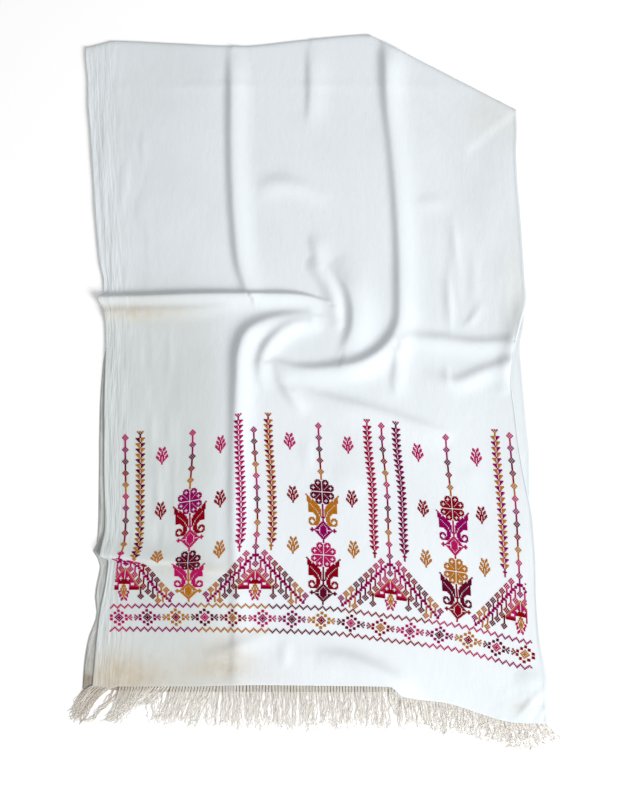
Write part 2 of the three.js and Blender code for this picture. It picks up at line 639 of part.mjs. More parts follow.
add('top_layer', topLayer(), crepe);
add('under_layers', underLayers(), crepeBelow);
add('fringe_top', fringe(upperFringe), threads);
add('fringe_under', fringe(lowerFringe), threads);

export default scarf;
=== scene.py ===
"""The looks of the embroidered scarf: crepe folded in half, cross stitch, hems and two fringes.

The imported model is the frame. The cloth and the fringes here stand for its parts, and the stitches
lie on them. The tables of the drape are in millimetres, as the part's own are, and everything handed
to Blender is in metres.
"""

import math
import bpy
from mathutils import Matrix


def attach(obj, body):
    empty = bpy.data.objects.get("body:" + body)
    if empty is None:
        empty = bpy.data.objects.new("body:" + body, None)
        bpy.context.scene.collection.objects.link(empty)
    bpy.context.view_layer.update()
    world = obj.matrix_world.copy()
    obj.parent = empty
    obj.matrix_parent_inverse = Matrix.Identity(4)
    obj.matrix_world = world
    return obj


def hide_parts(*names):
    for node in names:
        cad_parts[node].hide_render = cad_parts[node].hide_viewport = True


bl_info = {
    "name": "Embroidered scarf",
    "version": (1, 0, 0),
    "blender": (4, 5, 0),
    "location": "3D View > Sidebar > Scarf",
    "description": "Makes the cloth, cross stitch, hems and fringes of a scarf that lies folded in half",
    "category": "Object",
}

import bpy
import numpy as np
from mathutils import Vector

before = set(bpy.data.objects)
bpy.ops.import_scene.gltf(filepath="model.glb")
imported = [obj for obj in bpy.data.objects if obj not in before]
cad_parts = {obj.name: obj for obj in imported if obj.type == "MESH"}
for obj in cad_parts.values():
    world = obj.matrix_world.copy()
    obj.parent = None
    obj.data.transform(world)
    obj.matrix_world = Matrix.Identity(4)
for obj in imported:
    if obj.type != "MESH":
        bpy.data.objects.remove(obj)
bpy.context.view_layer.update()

MM = 0.001

# The cloth, as the part has it

CLOTH_WIDTH = 700
HALF_LENGTH = 1000
HIDDEN_TOP = 2.2
SEAT_GAP = 0.3
TUCK_START = 460
TUCK_DEPTH = 110
TUCK_LAYER = 1.5
TUCK_CORNERS = [(84, 536), (302, 429), (228, 370)]
TUCK_STEP = 12
FOLD_ROLL = 7
FOLD_DROP = 2.1
FOLD_ROLL_STEPS = (0.75, 0.5, 0.3, 0.15, 0.05, 0)
HEM_ROLL = (3.5, 6)              # from a side edge: where the rolled hem starts to thin, and where it ends
RIM_ROUND = 0.96                 # how thin a rim gets at its very edge, 1 being nothing

# The drape. A section runs across the cloth at one distance (rise) above the hem: y at the left
# edge, seven embroidered columns and the right edge, then x of the seven columns.

STATIONS = [0, 41.5, 145.1, 248.7, 352.3, 455.9, 559.5, 663, CLOTH_WIDTH]
SECTIONS = [
    # rise, y at the nine stations, x at the seven columns
    (0, (-437, -438, -438, -436, -437, -438, -465, -493, -494),
     (-289, -190, -90, 11, 109, 207, 308)),
    (83, (-353, -353, -353.5, -355, -358, -369.5, -383, -407.5, -415),
     (-281, -185, -88, 10, 109.5, 208, 304)),
    (147.5, (-296, -296, -295, -294.5, -298, -310, -324, -345, -352),
     (-285, -188, -88, 14, 115, 215.5, 310)),
    (188.5, (-251, -254, -262, -253.5, -258, -268.5, -283.5, -300, -306),
     (-281.5, -188, -87.5, 14, 114, 213, 308.5)),
    (214, (-242, -244.5, -243.5, -228.5, -233.5, -243, -258, -272.5, -279),
     (-291, -187.5, -87, 14.5, 113.5, 212.5, 307.5)),
    (249, (-222, -224, -211.5, -192.5, -198.5, -207.5, -221.5, -233.5, -239),
     (-284, -185.5, -84.5, 14, 111.5, 210, 305.5)),
    (302, (-170, -171, -160.5, -139.5, -146.5, -153.5, -172, -176, -180),
     (-281.5, -186, -85.5, 12, 110, 207, 302.5)),
    (390, (-83, -83.5, -72, -53.5, -61.5, -65.5, -79.5, -81, -84),
     (-282.5, -181.5, -90, 7, 101.5, 198, 294)),
    (569, (99, 100, 106, 122, 119, 117, 106, 103, 102),
     (-281, -186, -91, 2.5, 96, 190, 283)),
    (614, (140, 141, 148, 161, 160, 160, 154, 152, 151),
     (-283, -187.5, -92, 1.5, 95, 189, 283)),
    (797, (325, 326, 330, 338, 338, 338, 335, 334, 334),
     (-294, -198.5, -103, -8.5, 86, 180, 274)),
    (HALF_LENGTH, (519, 529, 525, 521, 530, 538, 535.5, 533, 532),
     (-304, -208.5, -113, -16.5, 80, 174.5, 269)),
]

COLUMN_MARGIN = 8                # cloth beside an outer column that keeps its width in the drape
MARGIN_WIDTH = 0.92              # and the share of its width that it keeps

# Edges in plan, as (y, x), from the far end to the near end.

LEFT_EDGE = [
    (519, -342), (403, -337), (288, -329.5), (210, -323), (154, -314.5), (140, -322.5), (124, -313.5),
    (81, -312), (21, -313), (-114, -314.5), (-196, -312.5), (-229, -318), (-239, -319.5), (-250, -308),
    (-276, -311.5), (-303, -316.5), (-375, -327), (-437, -332),
]
RIGHT_EDGE = [
    (532, 303), (339, 304.5), (235, 312), (141, 317.5), (103, 308.5), (64, 299), (21, 294.5),
    (-18, 299), (-64, 304.5), (-129, 316), (-189, 328), (-249, 333), (-318, 335.5),
    (-370, 340.5), (-429, 351), (-494, 351),
]
HIDDEN_LEFT = [
    (508, -338), (403, -334), (288, -327), (210, -320), (154, -312), (90, -309), (46, -316),
    (-30, -321), (-189, -323), (-226, -326), (-239, -332), (-252, -320), (-305, -328),
    (-328, -325.5), (-369, -338.5), (-403, -344), (-442, -347),
]
HIDDEN_RIGHT = [
    (414, 299), (339, 301), (235, 309), (150, 314), (112, 316.5), (69, 310), (31, 313),
    (-48, 320), (-87, 324), (-190, 326), (-318, 332.5), (-370, 337.5), (-429, 347), (-486, 347),
]
HIDDEN_HEM = [
    (-347, -442), (-250, -446), (108, -447), (133, -447), (198, -454), (264, -472),
    (294, -483), (347, -486),
]
HIDDEN_FOLD_INSET = 6
HEM_SAG = {"from": 460, "full": 481, "hold": 486, "until": 560, "depth": 12.5, "reach": 70}

# Folds, as (steep flank, gentle flank, lean, route). A route's points are (x, y, crest height),
# and the steep flank is on its left.

FOLDS = {
    "upper left ridge": (8, 18, 1.5, [
        (-98, 156, 5), (-110, 198, 7), (-117, 268, 7), (-121, 366, 7), (-121, 464, 7), (-122, 512, 2)]),
    "swirl, then upper right ridge": (9, 19, 2, [
        (-58, 44, 3), (-22, 35, 7), (30, 37, 9), (72, 46, 10), (108, 70, 10), (128, 104, 8),
        (131, 170, 8), (128, 268, 7), (120, 366, 6), (112, 440, 8), (110, 492, 9), (109, 522, 3)]),
    "lower left ridge into the swirl": (10, 18, 2, [
        (-115, -432, 2), (-114, -310, 3), (-117, -219, 4), (-117, -129, 6), (-115, -54, 7),
        (-112, 21, 10), (-109, 66, 11), (-98, 92, 10), (-74, 106, 9), (-44, 113, 8), (-8, 116, 4)]),
    "inner turn of the swirl": (9, 13, 1, [
        (-78, 20, 2), (-78, 48, 6), (-70, 69, 7), (-54, 87, 7), (-33, 99, 6), (-6, 104, 3)]),
    "waist pleat": (6, 13, 3, [
        (-326, 141, 9), (-250, 143, 9), (-170, 146, 9), (-81, 146, 8), (-20, 144, 7), (18, 134, 3)]),
    "under the waist pleat": (6, 11, 0, [(-326, 122, 4), (-250, 124, 4), (-180, 126, 3), (-125, 130, 1)]),
    "hook, outer": (9, 26, 1, [
        (48, 66, 2), (59, 98, 8), (60, 132, 9), (53, 159, 8), (42, 177, 5), (24, 196, 0)]),
    "hook, inner": (11, 9, 0, [(36, 108, 3), (31, 138, 6), (20, 165, 6), (3, 190, 5), (-5, 208, 0)]),
    "mound over the hook": (9, 15, 0, [(12, 196, 2), (3, 219, 4), (-3, 243, 0)]),
    "long diagonal": (9, 24, 0, [(-24, 4, 2), (36, -12, 5), (99, -28, 5), (159, -48, 4), (216, -66, 0)]),
    "spoke": (7, 14, 0, [(-12, -30, 0), (-30, -9, 4), (-46, 15, 4), (-55, 33, 2)]),
    "short crease": (7, 15, 0, [(123, -9, 0), (123, 28, 4), (127, 62, 4)]),
    "right, upper": (9, 15, 0, [(143, 84, 3), (189, 81, 5), (234, 75, 5), (290, 77, 4)]),
    "right, lower": (9, 15, 0, [(165, 34, 0), (210, 18, 4), (249, 32, 5), (294, 48, 4)]),
    "right edge curl": (13, 10, 0, [
        (285, 8, 2), (290, 44, 5), (297, 74, 6), (306, 110, 5), (313, 146, 1)]),
    "far middle crease": (6, 20, 0, [(-8, 398, 0), (-5, 441, 4), (-5, 486, 4), (-6, 518, 1)]),
    "arch": (12, 15, 0, [(-88, 306, 0), (-58, 315, 4), (-28, 312, 4), (24, 288, 0)]),
    "lower pleat": (6, 18, 3, [
        (-110, -263, 0), (-160, -261, 4), (-205, -248, 5), (-246, -246, 6), (-306, -238, 7),
        (-332, -236, 7)]),
    "near diagonal": (14, 22, 1, [
        (0, -392, 1), (46, -397, 7), (88, -412, 10), (124, -431, 9), (148, -452, 3)]),
    "near left diagonal": (10, 16, 0, [(-171, -396, 0), (-110, -377, 3), (-52, -352, 0)]),
    "near right corner": (12, 18, 0, [(300, -424, 0), (328, -428, 4), (350, -440, 3)]),
}
# Small creases that only the looks have.
CREASES = {
    "far right, upper": (3, 9, 0, [(208, 270, 0), (211, 231, 2.2), (216, 178, 0)]),
    "far right, lower": (3, 8, 0, [(199, 188, 0), (203, 141, 2.6), (207, 96, 0)]),
    "right, short": (3, 7, 0, [(197, 44, 0), (200, 28, 2.0), (204, 8, 0)]),
    "right, slanting": (4, 8, 0, [(222, 96, 0), (238, 116, 2.0), (252, 142, 0)]),
    "right arch": (7, 12, 0, [(146, 284, 0), (172, 289, 1.8), (204, 284, 0)]),
    "near middle": (9, 9, 0, [(-43, -366, 0), (-44, -390, 1.8), (-43, -412, 0)]),
    "soft, middle": (12, 16, 0, [(24, -106, 0), (50, -128, 1.5), (76, -148, 0)]),
    "soft, right": (12, 16, 0, [(204, -111, 0), (234, -120, 1.5), (264, -132, 0)]),
    "soft, upright": (11, 14, 0, [(-10, -52, 0), (-9, -92, 1.8), (-10, -130, 0)]),
    "hem, left": (2, 5, 0, [(-312, -393, 0), (-303, -393, 0.9), (-290, -395, 0)]),
    "hem, left inner": (2, 5, 0, [(-296, -414, 0), (-283, -418, 0.9), (-268, -417, 0)]),
    "corner, long": (4, 6, 0, [(300, -488, 0), (318, -468, 2.8), (344, -442, 0.6)]),
    "corner, middle": (4, 5, 0, [(312, -490, 0), (326, -475, 2.4), (338, -466, 0)]),
    "corner, edge": (4, 5, 0, [(338, -496, 0.8), (339, -482, 2.6), (347, -468, 0.8)]),
    "pressed line at the fold": (2, 2, 0, [(-336, 509, 0.4), (-240, 512, 0.5), (-150, 513, 0)]),
    "pressed line across": (4, 6, 0, [(-336, 458, 0.5), (-100, 462, 0.8), (120, 462, 0.6), (290, 455, 0)]),
}
ROUTE_STEPS = 7                  # straight steps between two points of a route
FOLD_REACH = 3                   # a fold is felt this many flanks away

# Crumples, as (x from, x to, y from, y to, grain across, grain along, height).
CRUMPLES = [
    (-400, 400, -600, 600, 74, 118, 0.9),
    (-400, 400, -600, 600, 26, 66, 0.22),
    (-345, -250, 150, 515, 8, 46, 1.15),
    (-316, -200, -220, 100, 9, 54, 0.8),
    (186, 318, 80, 250, 12, 58, 0.7),
    (-336, -240, -440, -372, 8, 13, 0.60),
    (270, 352, -496, -440, 9, 9, 0.6),
]
CRUMPLE_FADE = 34
CRUMPLE_SINK = 0.1               # how far a crumple may sink below the flat cloth
EDGE_WAVE = {"grain": 36, "depth": 0.9, "reach": 30, "seed": 40}

# The cloth's net of points is finer where the folds crowd. Each row says how far it goes and the
# length of its steps.
NET_ACROSS = [(0.5, 0.5), (3, 1.25), (6, 1.5), (124, 3.3), (190, 4.6), (520, 3.5), (694, 4.4), (697, 1.5),
              (699.5, 1.25), (CLOTH_WIDTH, 0.5)]
NET_UP = [(0.6, 0.6), (3, 1.2), (66, 4), (180, 6), (236, 2.8), (428, 5.2), (584, 3.8), (622, 2.4), (690, 4),
          (HALF_LENGTH - FOLD_ROLL, 6.4)]

# The hidden half's net, in the same way but in shares of its width and of its length.
HIDDEN_ACROSS = [(0.01, 0.003), (0.05, 0.006), (0.95, 0.036), (0.99, 0.006), (1, 0.003)]
HIDDEN_UP = [(0.01, 0.0025), (0.06, 0.005), (0.96, 0.012), (1, 0.004)]
# How high the hidden half lies at its edges, how much higher inside them and from where to where it
# rises, the lowest that it may reach, the width of its round rim, and its small hills.
HIDDEN_LIE = {"edge": 0.95, "inside": 0.55, "inside from": 2, "inside by": 16, "floor": 0.05, "rim": 0.9}
HIDDEN_HEM_ROLL = (3, 6)
HIDDEN_HILLS = {"height": 0.14, "grain": (14, 26), "seed": 60}

# The seam of the rolled hems, and the size of its stitches in metres.
HEM_SEAM = {"inset": 5.0, "from": 6, "to": 985, "points": 260, "lift": 0.05}
HEM_STITCH_LENGTH = 0.0024
HEM_STITCH_THICKNESS = 0.0006
SEWING_DEEP = 0.8                # the sewing thread's deepest tone, as a share of its colour

# Beige marks on the cloth, as (x, y, half width, half height, strength): stains, such as the one by the near
# left corner, and, on the last row, painted shade on the left flank of the lower left ridge with some beige
# in it.
STAINS_AND_SHADE = [
    (-268, 122, 78, 15, 0.7), (-292, -424, 56, 38, 1.05), (-190, -424, 120, 20, 0.3),
    (305, -468, 14, 8, 0.25), (268, 414, 52, 34, 0.2), (-180, -262, 66, 12, 0.45), (300, 160, 16, 70, 0.2),
    # painted shade on the left flank of the lower left ridge, with some beige in it
    (-130, -392, 34, 42, 0.32), (-150, -398, 66, 28, 0.42),
]

# Painted shade on the hidden half: a painted shadow up from its hem, where the upper hem and the fringe's
# tufts lie over it, and painted shade down the strip that shows at the left, darker towards the hem.
HEM_SHADOW = {"strength": 0.9, "fade": (8, 26), "across": (0.7, 0.8)}
STRIP_SHADE_AND_DUST = {"strength": 0.28, "more near the hem": 0.4, "near": (-430, -330), "across": (0.05, 0.3)}

# The grain of the crepe's patterns: how many go into a metre.
PEBBLES = 900
WEAVE = 420
CRINKLES = 110
WRINKLES = 150
SPECKS = 60
CLOUDS = 9
# Where the crepe's darker tone is full and where it ends, in metres of the cut: across, from the left
# edge, and up, from the hem. Down the left third this darker tone is painted shade, most of it in the
# nearer part; towards the right edge it makes the cloth darker. The last pair is for the fine wrinkles down
# the left edge.
PAINTED_SHADE_LEFT = (0.15, 0.235)
TONE_RIGHT = (0.66, 0.54)
PAINTED_SHADE_NEAR = (0.5, 0.68)
WRINKLES_LEFT = (0.015, 0.07)
CLOUD_AND_SHADE_SHARES = (0.785, 0.79, 0.75)    # the darker tone, of the random clouds and of the painted shade, as shares of the clean crepe's colour
PEBBLE_GREY = (0.55, 0.55, 0.56, 1.0)
# How strongly each pattern tells, as (scale, added).
# The next row sets the painted shade down the left third: its scale in the nearer part, and what is added
# all over it.
PAINTED_SHADE_NEAR_SCALE = (0.65, 0.3)
RIGHT_TONE = 0.25
CLOUD_TONE = (0.7, -0.33)
DUST_PATCHES = (1.5, 0.2)
PEBBLE_SHADE = (0.2, -0.04)
WEAVE_RELIEF = 0.3
# The relief of each pattern, as (strength, height in metres).
WEAVE_BUMP = (0.25, 0.0003)
PEBBLE_BUMP = (0.7, 0.0007)
CRINKLE_BUMP = (0.36, 0.0012)
WRINKLE_BUMP = (0.75, 0.003)

# The cross stitch is counted in cells, from the first embroidered column and the first row.

FIRST_COLUMN = 41.5
FIRST_ROW = 80
CELL_WIDE = 1.955
CELL_TALL = 1.955
COLUMN_STEP = 106
LAST_COLUMN = 3 * COLUMN_STEP
FLOWER_COLUMNS = [53, 159, 265]
STITCH_REACH = 0.49              # from a cell's middle to the ends of its threads, in cells
STITCH_WANDER = 0.05             # how far a stitch strays from its place, in cells
STITCH_OVER = 0.12               # how much higher the second thread of a cross lies
STITCH_ENDS = -0.08              # the height of its ends, just in the cloth
THREAD_DEEP = 0.72               # the deepest and the lightest tone of a thread, as shares of its colour
THREAD_LIGHT = 1.3
THREAD_SHADE = 0.5               # the most that a stitch is lightened
BORDER_FROM = -12
BORDER_TO = LAST_COLUMN + 10
ZIGZAG = [0, 1, 2, 3, 2, 1]

THREADS = ["pink", "purple", "maroon", "red", "mustard"]
# Colours of the two zigzags, as (last cell, thread).
ZIGZAG_UPPER = [(6, "pink"), (59, "purple"), (116, "mustard"), (173, "maroon"), (242, "red"), (297, "pink"),
                (BORDER_TO, "purple")]
ZIGZAG_LOWER = [(1, "pink"), (59, "purple"), (117, "mustard"), (173, "maroon"), (241, "red"), (299, "pink"),
                (BORDER_TO, "purple")]
# The threads of the petals and of the heart, in turn along the border.
ROSETTES = [
    ("pink", "purple"), ("purple", "maroon"), ("mustard", "red"), ("maroon", "pink"), ("red", "mustard"),
]
ROSETTE_COUNT = 15
ROSETTE_FIRST = -5.5
ROSETTE_STEP = 23.5
ROSETTE_ROW = 11.5
CHAIN = ["purple", "pink", "mustard", "red", "maroon"]
CHAIN_LENGTHS = [12, 11, 12, 12]
FLOWER_CHAIN = ["mustard", "red", "maroon", "purple", "pink"]
OUTER_ROW = ["pink", "pink", "red", "red", "maroon", "maroon", "mustard", "mustard"]
INNER_ROW = ["pink", "pink", "red", "red", "maroon", "maroon", "mustard"]
# Leaf strips, as (column, left thread, right thread).
LEAF_STRIPS = [
    (12, "mustard", "maroon"), (94, "pink", "purple"), (118, "mustard", "red"),
    (200, "red", "pink"), (224, "purple", "maroon"), (306, "purple", "mustard"),
]
LEAF_LEVELS = 24
LEAF_TOP = 166
SPRIG_ROWS = [(145, "pink"), (103, "red"), (64, "mustard")]
SPRIG_SIDE = 24
SPRIG = """
..X...X..
..XX.XX..
...X.X...
.X..X..X.
.XX.X.XX.
..X.X.X..
X..XXX..X
XX.X.X.XX
.X.X.X.X.
..XX.XX..
...X.X...
....X....
....X....
"""
TRIANGLE_SPRIG = """
....m....
...mmm...
...m.m...
..m.m.m..
..m.m.m..
pp.mmm.pp
p..mmm..p
.p.m.m.p.
.pp.m.pp.
.p..m..p.
...p.p...
..pp.pp..
..p...p..
"""
# The left half of a flower's two leaves and of the curls under them.
LEAVES = """
X............
.X...........
.XX..........
.XXX.........
.XXX.X.......
.XXXXXX......
..XXXXXXX....
..X.XXXXX....
..XX.XXXXX...
..XXX.XXXXX..
..XXXX.XXXX..
..XXXXX.XXXX.
..XXXXXX.XXX.
..XXXXXXX.XX.
......XXX.XX.
.......XXX.X.
........XX.X.
........XXX..
...XXX..XXX..
..XX.XX.XXX..
..X...X.XXX..
..X....XXX...
..XX..XXXX...
...XXXXXX....
"""
LEAVES_TOP = 27
# Threads of the flower, the leaves and the diamond, for the upper and the lower one in a column.
FLOWERS = [
    [("purple", "red", "pink"), ("maroon", "pink", "mustard")],
    [("maroon", "mustard", "purple"), ("pink", "red", "maroon")],
    [("red", "purple", "pink"), ("mustard", "maroon", "red")],
]
FLOWER_BASES = [74, 25]

# Fringes: at each distance across, the sideways swing of the tips and the length of the tufts.

TUFTS_ABOVE = 147
TUFTS_BELOW = 84
FRINGE_STEPS = 22                # points along a thread
ROOT_ABOVE = {"rise": 0.8, "lift": -0.4, "down": 0.6}   # a tuft starts inside the hem
ROOT_BELOW = {"inset": 1, "up": 0.3, "height": 0.9}
LANE = 1.2                       # from one thread to the next in a tuft's comb
SWING_ABOVE = [
    (0, -34, 38), (50, -30, 50), (90, -16, 58), (150, -8, 60), (220, -3, 62), (350, 0, 63), (455, 3, 60),
    (490, 5, 47), (560, 7, 50), (640, 13, 44), (680, 16, 40), (CLOTH_WIDTH, 26, 32),
]
SWING_BELOW = [
    (0, -22, 60), (40, -16, 58), (90, -4, 54), (160, 0, 56), (400, 3, 58), (560, 6, 46),
    (CLOTH_WIDTH, 10, 40),
]
# How far the threads of a tuft stay side by side, by the distance across.
COMB_ABOVE = [(0, 36), (50, 28), (84, 19), (110, 14.5), (440, 13), (470, 2), (CLOTH_WIDTH, 1)]
COMB_BELOW = [(0, 4), (CLOTH_WIDTH, 3)]
# Bundles, as (across from, across to, x of the tips, y of the tips, width).
BUNDLES_ABOVE = [
    (0, 40, -356, -486, 22), (40, 66, -302, -496, 20), (66, 90, -284, -480, 14), (90, 120, -262, -470, 34),
    (120, 152, -224, -497, 24), (152, 190, -190, -496, 34), (455, 474, 128, -486, 14),
]
BUNDLES_BELOW = [(0, 62, -350, -496, 32), (62, 92, -305, -493, 20), (92, 146, -232, -494, 30)]
BUNDLE_ROUND = 3                 # how much shorter a bundle is at its sides than in its middle
# Elsewhere the tufts draw together in locks. The pull is weaker on the right.
LOCK_START = -20
LOCK_COUNT = 70
LOCK_WIDTHS = (12, 30)
LOCK_UNEVEN = 4.5
LOCK_PULL = {"left": 0.42, "less on the right": 0.32, "from": 440, "to": 500}
# Waves along a thread, as (fewest turns, most turns, size, size added at the right end).
THREAD_WAVES = [(0.7, 1.5, 1.7, 0), (2.0, 3.4, 1.0, 0.7), (4.5, 7, 0.5, 0.9)]
RIGHT_END = (470, 640)
COMB_OPENS = (0.85, 17)          # a thread leaves the comb from this share of it to this far past it
LOOSE = 3.4                      # how far a loose thread lies from its lane
STRAY_FROM = 0.85                # of all threads, those past this share stray
STRAY_MORE = 1.6
THREAD_REACH = (0.86, 1.06)      # the length of a thread, as a share of its tuft's
CURL_FROM = (0.72, 1.04)         # where along a thread its end starts to curl, and where it is all curl
CURL_TURN = (2.2, 5.2)
CURL_SIZE = (1.2, 3.0)
ASIDE = {"left of": 40, "early": 0.6, "late": 1.3}   # how early along a thread its swing comes
SETTLES = (0.05, 0.5)            # where along a thread it starts to come down, and where it lies
WAVE_SHARES = (1, 0.6, 0.5)      # of the waves, sideways, along and up
TIP_THINNER = 0.2
PILE = (0.1, 1.8)                # how high the threads lie over each other
FRINGE_DEEP = (0.84, 0.80, 0.73)     # the deepest tone of the threads, as shares of their colour
# The fringe's darker tone is partly age and partly painted shade: on the lower fringe, which lies under the
# upper one, and near the roots, under the hem.
AGED_AND_SHADED_LEFT = (20, 110)            # the fringe is aged and shaded most up to the first distance across, and less past it
CLEAN_AND_LIT_ALONG = (0.2, 0.75)        # a thread is clean and lit from the second share of its length on; nearer the hem its darker tone is painted shade
CLEAN_AND_LIT_LESS = 0.7                 # but less so at the left end
AGED_AND_SHADED_ELSEWHERE = 0.25

# The stage, in metres.

CAMERA_AT = (0.009, -0.009, 2.2)
KEY_AT = (2.8, -2.15, 2.4)
KEY_SIZE = 2.2
FLOOR_REACH = 40
FLOOR_SHADE = 0.985              # the floor's second tone, as a share of its first
FLOOR_GLOW = 0.1
WHITE = (1.0, 1.0, 1.0, 1.0)


def smooth_curve(places, values, at):
    """A smooth curve through rows of values that never overshoots them, read at each place in at."""
    places = np.asarray(places, float)
    values = np.asarray(values, float)
    at = np.asarray(at, float)
    if values.ndim == 1:
        values = values[:, None]
    if places[0] > places[-1]:
        places = places[::-1]
        values = values[::-1]
    gaps = np.diff(places)[:, None]
    slopes = np.diff(values, axis=0) / gaps
    tangents = np.vstack([slopes[:1], np.zeros_like(values[1:-1]), slopes[-1:]])
    before = 2 * gaps[1:] + gaps[:-1]
    after = gaps[1:] + 2 * gaps[:-1]
    one_way = slopes[:-1] * slopes[1:] > 0
    lower = np.where(one_way, slopes[:-1], 1)
    upper = np.where(one_way, slopes[1:], 1)
    tangents[1:-1] = np.where(one_way, (before + after) / (before / lower + after / upper), 0)
    k = np.clip(np.searchsorted(places, at, side="right") - 1, 0, len(gaps) - 1)
    column = np.arange(at.size) if values.shape[1] > 1 else np.zeros(at.size, int)
    span = gaps[k, 0]
    share = (at - places[k]) / span
    t = np.clip(share, 0, 1)
    low = (1 + 2 * t) * (1 - t) ** 2 * values[k, column] + t * (1 - t) ** 2 * span * tangents[k, column]
    high = t * t * (3 - 2 * t) * values[k + 1, column] + t * t * (t - 1) * span * tangents[k + 1, column]
    return low + high + slopes[k, column] * (share - t) * span


def smooth_step(low, high, value):
    """0 up to low, 1 from high on, and a smooth rise between them."""
    t = np.clip((value - low) / (high - low), 0, 1)
    return t * t * (3 - 2 * t)


def hills(u, v, seed):
    """Smooth random hills from -1 to 1, one grain to each unit of u and v."""
    low_u = np.floor(u.min())
    low_v = np.floor(v.min())
    u = u - low_u
    v = v - low_v
    counts = (int(u.max()) + 2, int(v.max()) + 2)
    heights = np.random.default_rng(seed).uniform(-1, 1, counts)
    i = u.astype(int)
    j = v.astype(int)
    s = smooth_step(0, 1, u - i)
    t = smooth_step(0, 1, v - j)
    near = heights[i, j] * (1 - s) + heights[i + 1, j] * s
    far = heights[i, j + 1] * (1 - s) + heights[i + 1, j + 1] * s
    return near * (1 - t) + far * t


def stops(rows):
    """Places from 0 on, each row going as far as it says in steps of about the length that it says."""
    places = [0.0]
    for end, step in rows:
        start = places[-1]
        count = max(1, round((end - start) / step))
        places += [start + (end - start) * i / count for i in range(1, count + 1)]
    return np.array(places)


# The drape


def edge(rows, y):
    """How far across an edge of the cloth lies at each y."""
    return smooth_curve([row[0] for row in rows], [row[1] for row in rows], y)


def hem_sag(across, rise):
    """How far the hem hangs down on the right, less and less above it."""
    along = smooth_step(HEM_SAG["from"], HEM_SAG["full"], across)
    along = along * (1 - smooth_step(HEM_SAG["hold"], HEM_SAG["until"], across))
    return HEM_SAG["depth"] * along * (1 - smooth_step(0, HEM_SAG["reach"], rise))


def in_plan(across, rise):
    """Where points of the cut cloth lie in plan."""
    rises = [row[0] for row in SECTIONS]
    ys = [smooth_curve(rises, [row[1][k] for row in SECTIONS], rise) for k in range(len(STATIONS))]
    xs = [smooth_curve(rises, [row[2][k] for row in SECTIONS], rise) for k in range(len(STATIONS) - 2)]
    xs = [edge(LEFT_EDGE, ys[0]), *xs, edge(RIGHT_EDGE, ys[-1])]
    stations = list(STATIONS)
    for inner, outer, at in ((-2, -1, -1), (1, 0, 1)):
        beyond = math.copysign(COLUMN_MARGIN, stations[outer] - stations[inner])
        share = beyond / (stations[outer] - stations[inner])
        xs.insert(at, xs[inner] + MARGIN_WIDTH * beyond)
        ys.insert(at, ys[inner] + share * (ys[outer] - ys[inner]))
        stations.insert(at, stations[inner] + beyond)
    x = smooth_curve(stations, np.array(xs), across)
    y = smooth_curve(stations, np.array(ys), across) - hem_sag(across, rise)
    return x, y


def route_line(route):
    """A smooth line through the points of a fold."""
    points = np.array(route, float)
    points = np.vstack([2 * points[0] - points[1], points, 2 * points[-1] - points[-2]])
    steps = np.linspace(0, 1, ROUTE_STEPS, endpoint=False)[:, None]
    line = []
    for a, b, c, d in zip(points, points[1:], points[2:], points[3:]):
        before, here, after = (np.linalg.norm(q - p) ** 0.5 for p, q in ((a, b), (b, c), (c, d)))
        leave = ((b - a) / before - (c - a) / (before + here) + (c - b) / here) * here
        arrive = ((c - b) / here - (d - b) / (here + after) + (d - c) / after) * here
        bend = 3 * (c - b) - 2 * leave - arrive
        twist = 2 * (b - c) + leave + arrive
        line.append(b + leave * steps + bend * steps**2 + twist * steps**3)
    return np.vstack([*line, points[-2:-1]])


def fold_lift(fold, x, y):
    """How far a fold lifts each point, and how far it carries it sideways."""
    steep, gentle, lean, route = fold
    line = route_line(route)
    shift = np.zeros((3, x.size))
    reach = FOLD_REACH * max(steep, gentle)
    low = line.min(0) - reach
    high = line.max(0) + reach
    near = np.flatnonzero((x > low[0]) & (x < high[0]) & (y > low[1]) & (y < high[1]))
    px = x[near]
    py = y[near]
    distance = np.full(px.size, np.inf)
    side, crest, left_x, left_y = (np.zeros(px.size) for _ in range(4))
    for a, b in zip(line, line[1:]):
        run = b - a
        length = math.hypot(run[0], run[1])
        off_x = px - a[0]
        off_y = py - a[1]
        t = np.clip((off_x * run[0] + off_y * run[1]) / length**2, 0, 1)
        away = np.hypot(off_x - run[0] * t, off_y - run[1] * t)
        closer = away < distance
        distance = np.where(closer, away, distance)
        side = np.where(closer, run[0] * off_y - run[1] * off_x, side)
        crest = np.where(closer, a[2] + run[2] * t, crest)
        left_x = np.where(closer, -run[1] / length, left_x)
        left_y = np.where(closer, run[0] / length, left_y)
    share = np.exp(-((distance / np.where(side > 0, steep, gentle)) ** 2))
    shift[:, near] = [lean * share * left_x, lean * share * left_y, crest * share]
    return shift


def tuck_lift(x, y):
    """How far the tucked corner lifts what lies on it."""
    inside = np.full(x.size, np.inf)
    for i, j in ((1, 2), (2, 0)):
        ax, ay = TUCK_CORNERS[i]
        bx, by = TUCK_CORNERS[j]
        cross = (bx - ax) * (y - ay) - (by - ay) * (x - ax)
        inside = np.minimum(inside, -cross / math.hypot(bx - ax, by - ay))
    return TUCK_LAYER * smooth_step(-TUCK_STEP, 0, inside)


def far_edge(across):
    """How far above the hem the cloth folds over: less on the right, where a corner is tucked under."""
    return HALF_LENGTH - TUCK_DEPTH * np.maximum(0, (across - TUCK_START) / (CLOTH_WIDTH - TUCK_START))


def between(low, high, value):
    """1 between low and high, with a soft end on both sides."""
    half = CRUMPLE_FADE / 2
    return smooth_step(low - half, low + half, value) * (1 - smooth_step(high - half, high + half, value))


def crumple(x, y):
    """The height of the small waves and wrinkles at points in plan."""
    height = np.zeros(x.size)
    for seed, (left, right, near, far, across, along, tall) in enumerate(CRUMPLES):
        inside = between(left, right, x) * between(near, far, y)
        height += tall * inside * hills(x / across, y / along, seed)
    return height


